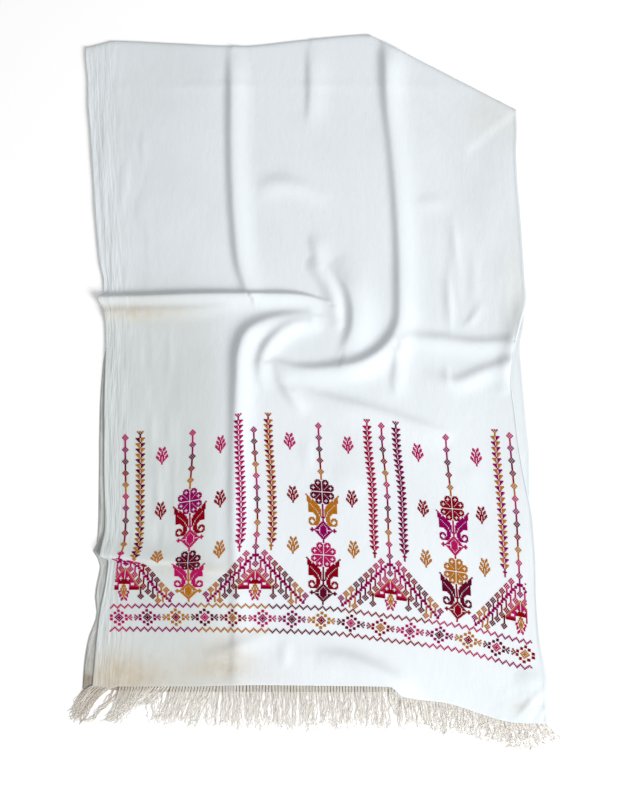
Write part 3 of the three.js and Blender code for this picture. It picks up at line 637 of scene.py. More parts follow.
def cloth_middle(across, rise, wall):
    """The middle of the upper half's thickness at points of the cut."""
    x, y = in_plan(across, rise)
    tuck = tuck_lift(x, y)
    height = HIDDEN_TOP + SEAT_GAP + wall / 2 + tuck
    moved = np.zeros((3, x.size))
    for fold in [*FOLDS.values(), *CREASES.values()]:
        moved += fold_lift(fold, x, y)
    wave = EDGE_WAVE["depth"] * hills(y / EDGE_WAVE["grain"], across / CLOTH_WIDTH, EDGE_WAVE["seed"])
    near_side = 1 - smooth_step(0, EDGE_WAVE["reach"], np.minimum(across, CLOTH_WIDTH - across))
    to_fold = np.clip(1 - (far_edge(across) - rise) / FOLD_ROLL, 0, 1)
    height = height + moved[2] + np.maximum(crumple(x, y), -CRUMPLE_SINK - moved[2])
    height -= (FOLD_DROP + tuck) * (1 - np.sqrt(1 - to_fold**2))
    return np.stack([x + moved[0] + wave * near_side, y + moved[1], height], axis=1)


class Drape:
    """The upper half as a net of points, and any place of the cut found on it."""

    def __init__(self, wall, hem):
        self.across = stops(NET_ACROSS)
        ends = [HALF_LENGTH - share * FOLD_ROLL for share in FOLD_ROLL_STEPS]
        self.reach = np.concatenate([stops(NET_UP), ends]) / HALF_LENGTH
        across, reach = np.meshgrid(self.across, self.reach)
        self.shape = across.shape
        self.cut = np.stack([across.ravel(), (reach * far_edge(across)).ravel()], axis=1)
        middle = cloth_middle(*self.cut.T, wall).reshape(*self.shape, 3)
        right = np.gradient(middle, axis=1)
        up = np.gradient(middle, axis=0)
        normal = np.cross(right, up)
        normal /= np.linalg.norm(normal, axis=2, keepdims=True)
        to_side = np.minimum(across, CLOTH_WIDTH - across)
        to_hem = np.minimum(to_side, self.cut[:, 1].reshape(self.shape))
        thick = wall + (hem - wall) * (1 - smooth_step(*HEM_ROLL, to_side))
        rim = np.clip(1 - to_hem / (hem / 2), 0, 1)
        half = (thick / 2 * np.sqrt(1 - RIM_ROUND * rim**2))[..., None]
        self.over = middle + normal * half
        self.under = middle - normal * half
        self.normal = normal

    def at(self, across, rise, lift=0.0):
        """Points on the upper face at places of the cut, lifted along the face's normal."""
        reach = rise / far_edge(across)
        c = np.clip(np.searchsorted(self.across, across) - 1, 0, self.shape[1] - 2)
        r = np.clip(np.searchsorted(self.reach, reach) - 1, 0, self.shape[0] - 2)
        s = ((across - self.across[c]) / (self.across[c + 1] - self.across[c]))[:, None]
        t = ((reach - self.reach[r]) / (self.reach[r + 1] - self.reach[r]))[:, None]
        lift = np.broadcast_to(lift, across.shape)[:, None]

        def blend(net):
            near = net[r, c] * (1 - s) + net[r, c + 1] * s
            far = net[r + 1, c] * (1 - s) + net[r + 1, c + 1] * s
            return near * (1 - t) + far * t

        return blend(self.over) + lift * blend(self.normal)


def hidden_hem(x):
    """The y of the hidden half's hem."""
    return np.interp(x, [point[0] for point in HIDDEN_HEM], [point[1] for point in HIDDEN_HEM])


def hidden_layer(wall, hem):
    """The hidden half as a shell: its points, their places in the cut, their painted shade and dust, and the
    net's shape.
    """
    wide = stops(HIDDEN_ACROSS)
    tall = stops(HIDDEN_UP)
    u, v = (net.ravel() for net in np.meshgrid(wide, tall))
    x = HIDDEN_HEM[0][0] + (HIDDEN_HEM[-1][0] - HIDDEN_HEM[0][0]) * u
    _, far = in_plan(CLOTH_WIDTH * u, far_edge(CLOTH_WIDTH * u) - HIDDEN_FOLD_INSET)
    y = hidden_hem(x) + (far - hidden_hem(x)) * v
    left = edge(HIDDEN_LEFT, y)
    x = left + (edge(HIDDEN_RIGHT, y) - left) * u
    rim = np.minimum(np.minimum(u, 1 - u) * CLOTH_WIDTH, np.minimum(v, 1 - v) * HALF_LENGTH)
    thick = wall + (hem - wall) * (1 - smooth_step(*HIDDEN_HEM_ROLL, rim))
    half = thick / 2 * np.sqrt(1 - RIM_ROUND * np.clip(1 - rim / HIDDEN_LIE["rim"], 0, 1) ** 2)
    inside = smooth_step(HIDDEN_LIE["inside from"], HIDDEN_LIE["inside by"], rim)
    grain_x, grain_y = HIDDEN_HILLS["grain"]
    uneven = HIDDEN_HILLS["height"] * hills(x / grain_x, y / grain_y, HIDDEN_HILLS["seed"])
    height = HIDDEN_LIE["edge"] + HIDDEN_LIE["inside"] * inside + uneven
    high = np.stack([x, y, height + half], axis=1)
    low = np.stack([x, y, np.maximum(height - half, HIDDEN_LIE["floor"])], axis=1)
    cut = np.stack([CLOTH_WIDTH * u, HALF_LENGTH * v], axis=1)
    dust = hidden_shade_and_dust(u, y, y - hidden_hem(x))
    points = np.concatenate([high, low])
    return points, np.concatenate([cut, cut]), np.concatenate([dust, dust]), (len(tall), len(wide))


def hidden_shade_and_dust(u, y, above_hem):
    """The painted shade on the hidden half: a shadow along its hem, and shade down the strip that shows at
    the left, darker towards the hem.
    """
    # painted shadow under the upper hem and the fringe's comb
    hem = HEM_SHADOW["strength"] * (1 - smooth_step(*HEM_SHADOW["fade"], above_hem))
    near = 1 - smooth_step(*STRIP_SHADE_AND_DUST["near"], y)
    strip = STRIP_SHADE_AND_DUST["strength"] + STRIP_SHADE_AND_DUST["more near the hem"] * near
    strip = strip * (1 - smooth_step(*STRIP_SHADE_AND_DUST["across"], u))
    return np.clip(strip + hem * (1 - smooth_step(*HEM_SHADOW["across"], u)), 0, 1)


def stains_and_shade(x, y):
    """How stained the cloth is at points in plan, from 0 to 1, with the painted shade on the lower left
    ridge's flank.
    """
    dust = np.zeros(x.size)
    for at_x, at_y, wide, tall, strength in STAINS_AND_SHADE:
        dust += strength * np.exp(-(((x - at_x) / wide) ** 2) - ((y - at_y) / tall) ** 2)
    return np.clip(dust, 0, 1)


# Meshes


def net_faces(net):
    """The faces between the points of a net of indices."""
    corners = [net[:-1, :-1], net[:-1, 1:], net[1:, 1:], net[1:, :-1]]
    return np.stack(corners, axis=-1).reshape(-1, 4)


def shell_faces(rows, columns):
    """The faces of a closed shell of two nets, the upper one's points first."""
    index = np.arange(rows * columns).reshape(rows, columns)
    under = index + rows * columns
    top = net_faces(index)
    bottom = net_faces(under)[:, [0, 3, 2, 1]]
    rim = np.concatenate([index[0, :-1], index[:-1, -1], index[-1, :0:-1], index[:0:-1, 0]])
    after = np.roll(rim, -1)
    sides = np.stack([rim, rim + rows * columns, after + rows * columns, after], axis=-1)
    return np.concatenate([top, bottom, sides])


def mesh_object(name, points, faces, cut, dust):
    """A smooth mesh from points in millimetres, with the cut as its UV map and dust with painted shade as an
    attribute.
    """
    mesh = bpy.data.meshes.new(name)
    mesh.from_pydata((points * MM).tolist(), [], faces.tolist())
    uv = mesh.uv_layers.new(name="cut")
    corners = np.empty(len(mesh.loops), int)
    mesh.loops.foreach_get("vertex_index", corners)
    uv.data.foreach_set("uv", (cut[corners] * MM).ravel())
    attribute = mesh.attributes.new("dust", "FLOAT", "POINT")
    attribute.data.foreach_set("value", dust)
    mesh.shade_smooth()
    made = bpy.data.objects.new(name, mesh)
    bpy.context.scene.collection.objects.link(made)
    return made


def line_mesh(name, lines, thickness, shade):
    """Lines of points in millimetres as loose edges. thickness and shade hold one number a point."""
    count, steps, _ = lines.shape
    index = np.arange(count * steps).reshape(count, steps)
    edges = np.stack([index[:, :-1], index[:, 1:]], axis=-1).reshape(-1, 2)
    mesh = bpy.data.meshes.new(name)
    mesh.from_pydata((lines.reshape(-1, 3) * MM).tolist(), edges.tolist(), [])
    for label, values in (("thickness", thickness), ("shade", shade)):
        attribute = mesh.attributes.new(label, "FLOAT", "POINT")
        attribute.data.foreach_set("value", np.broadcast_to(values, (count, steps)).ravel())
    return mesh


# Node trees


class Nodes:
    """Adds nodes to a tree from left to right and joins them."""

    def __init__(self, tree):
        self.tree = tree
        tree.nodes.clear()

    def add(self, kind, inputs=None, **settings):
        """A node of this kind. inputs gives sockets a number or another node's output."""
        node = self.tree.nodes.new(kind)
        node.location = (200 * len(self.tree.nodes), 0)
        for name, value in settings.items():
            setattr(node, name, value)
        for name, value in (inputs or {}).items():
            self.feed(node.inputs[name], value)
        return node

    def feed(self, socket, value):
        if isinstance(value, bpy.types.NodeSocket):
            self.tree.links.new(value, socket)
        else:
            socket.default_value = value

    def mix_colour(self, factor, first, second):
        node = self.add("ShaderNodeMix", data_type="RGBA")
        for socket, value in zip((node.inputs[0], node.inputs[6], node.inputs[7]), (factor, first, second)):
            self.feed(socket, value)
        return node.outputs[2]

    def scaled(self, value, scale, add=0.0):
        """The value times the scale, with something added."""
        node = self.add("ShaderNodeMath", operation="MULTIPLY_ADD")
        for socket, given in zip(node.inputs, (value, scale, add)):
            self.feed(socket, given)
        return node.outputs[0]

    def fading(self, value, full, none):
        """1 where the value is at full or beyond it, and 0 at none."""
        node = self.add("ShaderNodeMapRange", {
            "Value": value, "From Min": full, "From Max": none, "To Min": 1.0, "To Max": 0.0,
        }, interpolation_type="SMOOTHSTEP")
        return node.outputs[0]

    def noise(self, place, scale, detail=3.0, stretch=(1, 1, 1)):
        mapping = self.add("ShaderNodeMapping", {"Vector": place, "Scale": stretch})
        node = self.add("ShaderNodeTexNoise", {
            "Vector": mapping.outputs[0], "Scale": scale, "Detail": detail, "Roughness": 0.55,
        })
        return node.outputs[0]

    def bump(self, height, strength, distance, normal=None):
        node = self.add("ShaderNodeBump", {"Height": height, "Strength": strength, "Distance": distance})
        if normal is not None:
            self.feed(node.inputs["Normal"], normal)
        return node.outputs[0]

    def finish(self, geometry, material):
        """Ends a Geometry Nodes tree: shaded smooth, real, and in its material."""
        smooth = self.add("GeometryNodeSetShadeSmooth", {"Geometry": geometry})
        real = self.add("GeometryNodeRealizeInstances", {"Geometry": smooth.outputs[0]})
        dyed = self.add("GeometryNodeSetMaterial", {"Geometry": real.outputs[0], "Material": material})
        self.add("NodeGroupOutput", {"Geometry": dyed.outputs[0]})


def opaque(colour):
    """A colour with its alpha, as the sockets take it."""
    return (*colour[:3], 1.0)


def new_material(name):
    """An empty material and the helper that adds its nodes."""
    material = bpy.data.materials.new(name)
    material.use_nodes = True
    return material, Nodes(material.node_tree)


def crepe_material(name, colour, dusty_and_shaded, strength):
    """Crepe: a pebbled plain weave of matt white threads, with soft crinkles, beige dust and painted shade
    from the mesh's attribute, and painted shade down its left third.
    """
    material, nodes = new_material(name)
    cut = nodes.add("ShaderNodeUVMap", uv_map="cut").outputs[0]
    dust = nodes.add("ShaderNodeAttribute", attribute_name="dust").outputs["Fac"]
    across, rise, _ = nodes.add("ShaderNodeSeparateXYZ", {"Vector": cut}).outputs
    pebbles = nodes.noise(cut, PEBBLES, 2)
    weave = nodes.add("ShaderNodeTexWave", {
        "Vector": cut, "Scale": WEAVE, "Distortion": 1.5,
    }, bands_direction="Y")
    crinkles = nodes.noise(cut, CRINKLES, 3, (1, 0.5, 1))
    wrinkles = nodes.noise(cut, WRINKLES, 2, (1, 0.13, 1))
    clouds = nodes.noise(cut, CLOUDS, 3)
    specks = nodes.noise(cut, SPECKS, 5)
    patchy = nodes.add("ShaderNodeMath", {
        0: dust, 1: nodes.scaled(specks, *DUST_PATCHES),
    }, operation="MULTIPLY")
    patchy.use_clamp = True
    # Painted shade: the left third of the crepe is darker, more so in its nearer part; the cloth is also
    # darker towards the right edge.
    left = nodes.fading(across, *PAINTED_SHADE_LEFT)
    right = nodes.fading(across, *TONE_RIGHT)
    near = nodes.fading(rise, *PAINTED_SHADE_NEAR)
    sides = nodes.scaled(left, nodes.scaled(near, *PAINTED_SHADE_NEAR_SCALE), nodes.scaled(right, RIGHT_TONE))
    tone = nodes.add("ShaderNodeMath", {0: nodes.scaled(clouds, *CLOUD_TONE), 1: sides}, operation="ADD")
    tone.use_clamp = True
    # The darker colour serves both the random clouds and the painted shade.
    clouded_and_shaded = [channel * share for channel, share in zip(colour, CLOUD_AND_SHADE_SHARES)]
    plain = nodes.mix_colour(tone.outputs[0], opaque(colour), opaque(clouded_and_shaded))
    # Stains and painted shade, both from the mesh's attribute.
    stained_and_shaded = nodes.mix_colour(patchy.outputs[0], plain, opaque(dusty_and_shaded))
    darker = nodes.mix_colour(nodes.scaled(pebbles, *PEBBLE_SHADE), stained_and_shaded, PEBBLE_GREY)
    beside_edge = nodes.fading(across, *WRINKLES_LEFT)
    normal = None
    for height, (share, distance) in (
        (nodes.scaled(weave.outputs[0], WEAVE_RELIEF), WEAVE_BUMP),
        (pebbles, PEBBLE_BUMP),
        (crinkles, CRINKLE_BUMP),
        (nodes.scaled(wrinkles, beside_edge), WRINKLE_BUMP),
    ):
        normal = nodes.bump(height, share * strength, distance, normal)
    shader = nodes.add("ShaderNodeBsdfPrincipled", {
        "Base Color": darker, "Roughness": 0.82, "Sheen Weight": 0.25, "Sheen Roughness": 0.45,
        "Specular IOR Level": 0.25, "Normal": normal,
    })
    nodes.add("ShaderNodeOutputMaterial", {"Surface": shader.outputs[0]})
    return material


def thread_material(name, colour, deep, other, sheen=0.0, scatter=0.0, painted_glow=0.0):
    """A twisted thread: fine slanting plies, deeper places in its dye, its other colour by shade, and a
    painted glow of its own when asked for.
    """
    material, nodes = new_material(name)
    place = nodes.add("ShaderNodeTexCoord").outputs["Object"]
    shade = nodes.add("ShaderNodeAttribute", attribute_name="shade").outputs["Fac"]
    plies = nodes.add("ShaderNodeTexWave", {
        "Vector": place, "Scale": 1300, "Distortion": 2,
    }, bands_direction="DIAGONAL")
    lots = nodes.noise(place, 240, 2)
    dye = nodes.mix_colour(nodes.scaled(lots, 1.7, -0.35), opaque(colour), opaque(deep))
    faded = nodes.mix_colour(shade, dye, opaque(other))
    bump = nodes.bump(plies.outputs[0], 0.5, 0.00015)
    shader = nodes.add("ShaderNodeBsdfPrincipled", {
        "Base Color": faded, "Roughness": 0.6, "Sheen Weight": sheen, "Sheen Roughness": 0.35,
        "Specular IOR Level": 0.01, "Subsurface Weight": scatter, "Subsurface Radius": (1.0, 1.0, 1.0),
        "Subsurface Scale": 0.0015, "Emission Color": opaque(colour), "Emission Strength": painted_glow,
        "Normal": bump,
    })
    nodes.add("ShaderNodeOutputMaterial", {"Surface": shader.outputs[0]})
    return material


def tree_with(name, inputs):
    """An empty Geometry Nodes tree with the named inputs, its group input node and its helper."""
    tree = bpy.data.node_groups.new(name, "GeometryNodeTree")
    tree.interface.new_socket("Lines", in_out="INPUT", socket_type="NodeSocketGeometry")
    for label, kind in inputs:
        tree.interface.new_socket(label, in_out="INPUT", socket_type=kind)
    tree.interface.new_socket("Geometry", in_out="OUTPUT", socket_type="NodeSocketGeometry")
    nodes = Nodes(tree)
    return tree, nodes, nodes.add("NodeGroupInput").outputs


def threads_tree():
    """Turns each line into a round thread, as thick as the input times the line's own thickness."""
    tree, nodes, given = tree_with("Threads along lines", [
        ("Thickness", "NodeSocketFloat"), ("Sides", "NodeSocketInt"), ("Material", "NodeSocketMaterial"),
    ])
    share = nodes.add("GeometryNodeInputNamedAttribute", {"Name": "thickness"}, data_type="FLOAT")
    curve = nodes.add("GeometryNodeMeshToCurve", {"Mesh": given["Lines"]})
    half = nodes.scaled(given["Thickness"], 0.5)
    ring = nodes.add("GeometryNodeCurvePrimitiveCircle", {"Resolution": given["Sides"], "Radius": half})
    thread = nodes.add("GeometryNodeCurveToMesh", {
        "Curve": curve.outputs[0], "Profile Curve": ring.outputs[0], "Scale": share.outputs[0],
        "Fill Caps": True,
    })
    nodes.finish(thread.outputs[0], given["Material"])
    return tree


def hem_stitch_tree():
    """Sets short stitches at even distances along each line."""
    tree, nodes, given = tree_with("Hem stitches along a line", [
        ("Spacing", "NodeSocketFloat"), ("Stitch length", "NodeSocketFloat"),
        ("Thickness", "NodeSocketFloat"), ("Material", "NodeSocketMaterial"),
    ])
    curve = nodes.add("GeometryNodeMeshToCurve", {"Mesh": given["Lines"]})
    places = nodes.add("GeometryNodeCurveToPoints", {
        "Curve": curve.outputs[0], "Length": given["Spacing"],
    }, mode="LENGTH")
    turn = nodes.add("FunctionNodeAlignRotationToVector", {"Vector": places.outputs["Tangent"]}, axis="Z")
    bead = nodes.add("GeometryNodeMeshUVSphere", {"Segments": 6, "Rings": 5, "Radius": 0.5})
    size = nodes.add("ShaderNodeCombineXYZ", {
        "X": given["Thickness"], "Y": given["Thickness"], "Z": given["Stitch length"],
    })
    stitches = nodes.add("GeometryNodeInstanceOnPoints", {
        "Points": places.outputs[0], "Instance": bead.outputs[0], "Rotation": turn.outputs[0],
        "Scale": size.outputs[0],
    })
    nodes.finish(stitches.outputs[0], given["Material"])
    return tree


def grown(name, mesh, tree, inputs):
    """The mesh that a tree makes from a mesh of lines, as an object of its own."""
    guide = bpy.data.objects.new(name + "_lines", mesh)
    bpy.context.scene.collection.objects.link(guide)
    modifier = guide.modifiers.new("Threads", "NODES")
    modifier.node_group = tree
    for socket in tree.interface.items_tree:
        if socket.in_out == "INPUT" and socket.name in inputs:
            modifier[socket.identifier] = inputs[socket.name]
    graph = bpy.context.evaluated_depsgraph_get()
    plain = bpy.data.meshes.new_from_object(guide.evaluated_get(graph), depsgraph=graph)
    plain.name = name
    made = bpy.data.objects.new(name, plain)
    bpy.context.scene.collection.objects.link(made)
    bpy.data.objects.remove(guide)
    if not plain.polygons:
        raise RuntimeError(f"{name} came out empty")
    return made


def tree_named(name, make):
    """The tree of this name, made the first time that it is asked for."""
    return bpy.data.node_groups.get(name) or make()


# The cross stitch


class Chart:
    """Counted stitches: the thread of each, by its cell."""

    def __init__(self):
        self.cells = {}

    def stitch(self, column, row, thread):
        self.cells.setdefault((round(column * 2) / 2, round(row * 2) / 2), thread)

    def dot(self, column, row, thread):
        """Four stitches round a place, and one in their middle."""
        for c in (-0.5, 0.5):
            for r in (-0.5, 0.5):
                self.stitch(column + c, row + r, thread)
        self.stitch(column, row, thread)

    def upright(self, column, low, high, thread):
        """A line of stitches up a column."""
        for row in range(low, high + 1):
            self.stitch(column, row, thread)

    def lozenge(self, column, row, reach, thread, heart):
        """A ring of stitches with a heart of its own in the middle."""
        for c in range(-reach, reach + 1):
            for r in range(-reach, reach + 1):
                if abs(c) + abs(r) == reach or abs(c) + abs(r) <= heart:
                    self.stitch(column + c, row + r, thread)

    def drawn(self, column, top, rows, threads):
        """A picture of letters, from its top row down. threads gives each letter its thread."""
        for down, line in enumerate(rows.split()):
            for c, letter in enumerate(line):
                if letter in threads:
                    self.stitch(column + c, top - down, threads[letter])


def thread_at(table, column):
    """The thread of a zigzag at a column."""
    return next((thread for last, thread in table if column <= last), table[-1][1])


def borders(chart):
    """Two zigzags, and between them a row of rosettes with small leaves from one to the next."""
    for column in range(BORDER_FROM, BORDER_TO + 1):
        row = ZIGZAG[(column - BORDER_FROM) % len(ZIGZAG)]
        chart.stitch(column, row, thread_at(ZIGZAG_LOWER, column))
        chart.stitch(column, 20 + row, thread_at(ZIGZAG_UPPER, column))
    for k in range(ROSETTE_COUNT):
        middle = ROSETTE_FIRST + ROSETTE_STEP * k
        petals, heart = ROSETTES[k % len(ROSETTES)]
        chart.lozenge(middle, ROSETTE_ROW, 3, heart, 1)
        for side in (-1, 1):
            chart.dot(middle, ROSETTE_ROW + 6 * side, petals)
            for up in (-1, 1):
                chart.dot(middle + 3 * side, ROSETTE_ROW + 4 * up, petals)
                chart.dot(middle + 6 * side, ROSETTE_ROW + 1.5 * up, petals)
            if not 0 <= k + side < ROSETTE_COUNT:
                continue
            for up in (-1, 1):
                chart.stitch(middle + 9 * side, ROSETTE_ROW + up, petals)
                chart.stitch(middle + 10 * side, ROSETTE_ROW + 2 * up, petals)
            chart.stitch(middle + 8 * side, ROSETTE_ROW, petals)
            chart.stitch(middle + 10.5 * side, ROSETTE_ROW, petals)


def triangle(chart, column):
    """The tree under an embroidered column: sloping rows of dots and lozenges round a filled triangle."""
    chart.lozenge(column, 68, 2, "purple", 0)
    chart.upright(column, 58, 65, "purple")
    chart.lozenge(column, 55, 2, "purple", 0)
    for side in (-1, 1):
        for k in range(19):
            chart.dot(column + side * (1.5 + 2 * k), 61.5 - 2 * k, "purple")
        for j, thread in enumerate(OUTER_ROW):
            place = column + side * (7 + 4 * j)
            chart.lozenge(place, 63 - 4 * j, 2, thread, 0)
            chart.upright(place, 57 - 4 * j, 60 - 4 * j, thread)
        chart.lozenge(column + side * 39, 31, 2, "purple", 0)
        chart.stitch(column + side * 39, 28, "purple")
        chart.upright(column + side * 38, 26, 27, "purple")
        for j, thread in enumerate(INNER_ROW):
            place = column + side * (4 + 4 * j)
            chart.lozenge(place, 50 - 4 * j, 2, thread, 0)
            chart.upright(place, 53 - 4 * j, 57 - 4 * j, thread)
        chart.upright(column + side * 32, 25, 29, "mustard")
        chart.lozenge(column + side * 14, 30, 2, "maroon", 0)
        chart.upright(column + side * 14, 33, 37, "maroon")
        for k in range(14):
            chart.stitch(column + side * k, 50 - k, "mustard")
    chart.drawn(column - 4, 39, TRIANGLE_SPRIG, {"m": "mustard", "p": "pink"})
    for c in range(-12, 13):
        for row in range(40 if abs(c) <= 4 else 36, 50 - abs(c)):
            window = math.hypot(abs(c) - 3, row - 43) < 1.3 or math.hypot(abs(c) - 7, row - 39.3) < 1.25
            if window or (c == 0 and row >= 43):
                continue
            low = (abs(c) <= 4 and row <= 43) or row <= 37
            chart.stitch(column + c, row, "red" if low else "pink")


def chains(chart, column, count):
    """A chain of lozenges that climbs from a triangle's tip."""
    for k in range(count):
        thread = CHAIN[k % len(CHAIN)]
        chart.lozenge(column, 68 + 9 * k, 2, thread, 0)
        if k:
            chart.upright(column, 62 + 9 * k, 65 + 9 * k, thread)


def leaf_strip(chart, column, left, right):
    """A stem with a pair of pointed leaves at every fourth row."""
    for level in range(LEAF_LEVELS):
        top = LEAF_TOP - 4 * level
        pair = (left, right) if level % 2 else (right, left)
        for down in range(3):
            for c in range(1, 4 - down):
                chart.stitch(column - c, top - down, pair[0])
                chart.stitch(column + c, top - down, pair[1])
        chart.stitch(column, top - 3, pair[0])
    bottom = LEAF_TOP - 4 * LEAF_LEVELS
    chart.upright(column, bottom - 4, bottom, left)
    for side in (-1, 1):
        chart.stitch(column + side, bottom - 1, left)
    chart.upright(column, LEAF_TOP + 1, LEAF_TOP + 3, right)
    for side in (-1, 1):
        chart.stitch(column + side, LEAF_TOP + 4, right)
        chart.stitch(column + 2 * side, LEAF_TOP + 5, left)
    chart.stitch(column, LEAF_TOP + 5, left)


def flower(chart, column, middle, thread):
    """Eight petals in pairs, each with a small window."""
    for c in range(-10, 11):
        for r in range(-10, 11):
            far, near = max(abs(c), abs(r)), min(abs(c), abs(r))
            if near == 0 or (near == far and far > 1):
                continue
            if math.hypot(far - 7, near - 3.1) < 1.15:
                continue
            if math.hypot(far - 7, near - 3.1) <= 2.5 or math.hypot(far, near) <= 5.8:
                chart.stitch(column + c, middle + r, thread)


def diamond(chart, column, middle, thread):
    """A diamond with a knob at each side, a tip below and a stem up to its flower."""
    for c in range(-7, 8):
        for r in range(-7, 8):
            across, up = abs(c), abs(r)
            beside = (across == 3 and up <= 2) or (r == 0 and 3 <= across <= 6)
            gap = beside or (across + up == 5 and across < 3)
            if across + up <= 7 and not gap:
                chart.stitch(column + c, middle + r, thread)
    for side in (-1, 1):
        chart.stitch(column + 8 * side, middle, thread)
        chart.upright(column + 9 * side, middle - 1, middle + 1, thread)
        chart.stitch(column + 10 * side, middle, thread)
        chart.stitch(column + side, middle + 10, thread)
    chart.upright(column, middle - 9, middle - 8, thread)
    chart.upright(column, middle + 8, middle + 20, thread)


def flower_column(chart, column, units):
    """Two flowers with their leaves and diamonds, one over the other, and a chain of lozenges on top."""
    for base, (petals, leaves, heart) in zip(FLOWER_BASES, units):
        flower(chart, column, base + 39, petals)
        diamond(chart, column, base + 9, heart)
        chart.drawn(column - 13, base + 9 + LEAVES_TOP, LEAVES, {"X": leaves})
        mirrored = "\n".join(line[::-1] for line in LEAVES.split())
        chart.drawn(column + 1, base + 9 + LEAVES_TOP, mirrored, {"X": leaves})
    for k, thread in enumerate(FLOWER_CHAIN):
        chart.lozenge(column, 129 + 9 * k, 2, thread, 0)
        chart.upright(column, 123 + 9 * k, 126 + 9 * k, thread)


def whole_chart():
    """Every stitch of the border. Where motifs meet, the one drawn first keeps its stitches."""
    chart = Chart()
    borders(chart)
    for k in range(4):
        column = COLUMN_STEP * k
        part = Chart()
        triangle(part, column)
        for (c, row), thread in part.cells.items():
            if -8 <= c <= LAST_COLUMN + 5.5:
                chart.stitch(c, row, thread)
        chains(chart, column, CHAIN_LENGTHS[k])
    for column, left, right in LEAF_STRIPS:
        leaf_strip(chart, column, left, right)
    for column, units in zip(FLOWER_COLUMNS, FLOWERS):
        flower_column(chart, column, units)
        for side in (-SPRIG_SIDE, SPRIG_SIDE):
            for row, thread in SPRIG_ROWS:
                chart.drawn(column + side - 4, row + 12, SPRIG, {"X": thread})
    return chart


def cross_stitches(drape, cells, rise):
    """Two bowed threads over each cell, the second one over the first."""
    cells = np.array(sorted(cells))
    rng = np.random.default_rng(len(cells))
    wander = rng.uniform(-STITCH_WANDER, STITCH_WANDER, (2, len(cells), 3, 2))
    lines = []
    for over, way in enumerate((1, -1)):
        points = []
        for k, step in enumerate((-STITCH_REACH, 0, STITCH_REACH)):
            column = cells[:, 0] + way * step + wander[over, :, k, 0]
            row = cells[:, 1] + step + wander[over, :, k, 1]
            across = FIRST_COLUMN + CELL_WIDE * column
            up = FIRST_ROW + CELL_TALL * (row + 0.5)
            lift = (rise + STITCH_OVER * over) if step == 0 else STITCH_ENDS
            points.append(drape.at(across, up, lift))
        lines.append(np.stack(points, axis=1))
    return np.concatenate(lines)


# Fringes


def tuft_roots(drape, count):
    """The middles of the upper fringe's tufts along the hem."""
    across = CLOTH_WIDTH * (np.arange(count) + 0.5) / count
    roots = drape.at(across, np.full(count, ROOT_ABOVE["rise"]), ROOT_ABOVE["lift"])
    roots[:, 1] -= ROOT_ABOVE["down"]
    return across, roots


def lower_roots(count):
    """The middles of the lower fringe's tufts along the hidden hem."""
    across = CLOTH_WIDTH * (np.arange(count) + 0.5) / count
    left = HIDDEN_HEM[0][0] + ROOT_BELOW["inset"]
    right = HIDDEN_HEM[-1][0] - ROOT_BELOW["inset"]
    x = left + (right - left) * across / CLOTH_WIDTH
    y = hidden_hem(x) + ROOT_BELOW["up"]
    return across, np.stack([x, y, np.full(count, ROOT_BELOW["height"])], axis=1)


def bundled(across, tips, bundles, rng):
    """Tips, gathered where the table has a bundle and drawn loosely into uneven locks elsewhere."""
    bounds = np.cumsum(rng.uniform(*LOCK_WIDTHS, LOCK_COUNT)) + LOCK_START
    lock = np.searchsorted(bounds, across)
    middle = (bounds[lock] + bounds[lock - 1]) / 2
    to_right = smooth_step(LOCK_PULL["from"], LOCK_PULL["to"], across)
    pull = LOCK_PULL["left"] - LOCK_PULL["less on the right"] * to_right
    tips[:, 0] += (middle - across) * pull
    tips[:, 1] += rng.uniform(-LOCK_UNEVEN, LOCK_UNEVEN, len(bounds))[lock]
    for start, end, x, y, width in bundles:
        inside = (across >= start) & (across < end)
        share = (across[inside] - start) / (end - start) - 0.5
        tips[inside, 0] = x + width * share
        tips[inside, 1] = y + 4 * BUNDLE_ROUND * share**2
    return tips


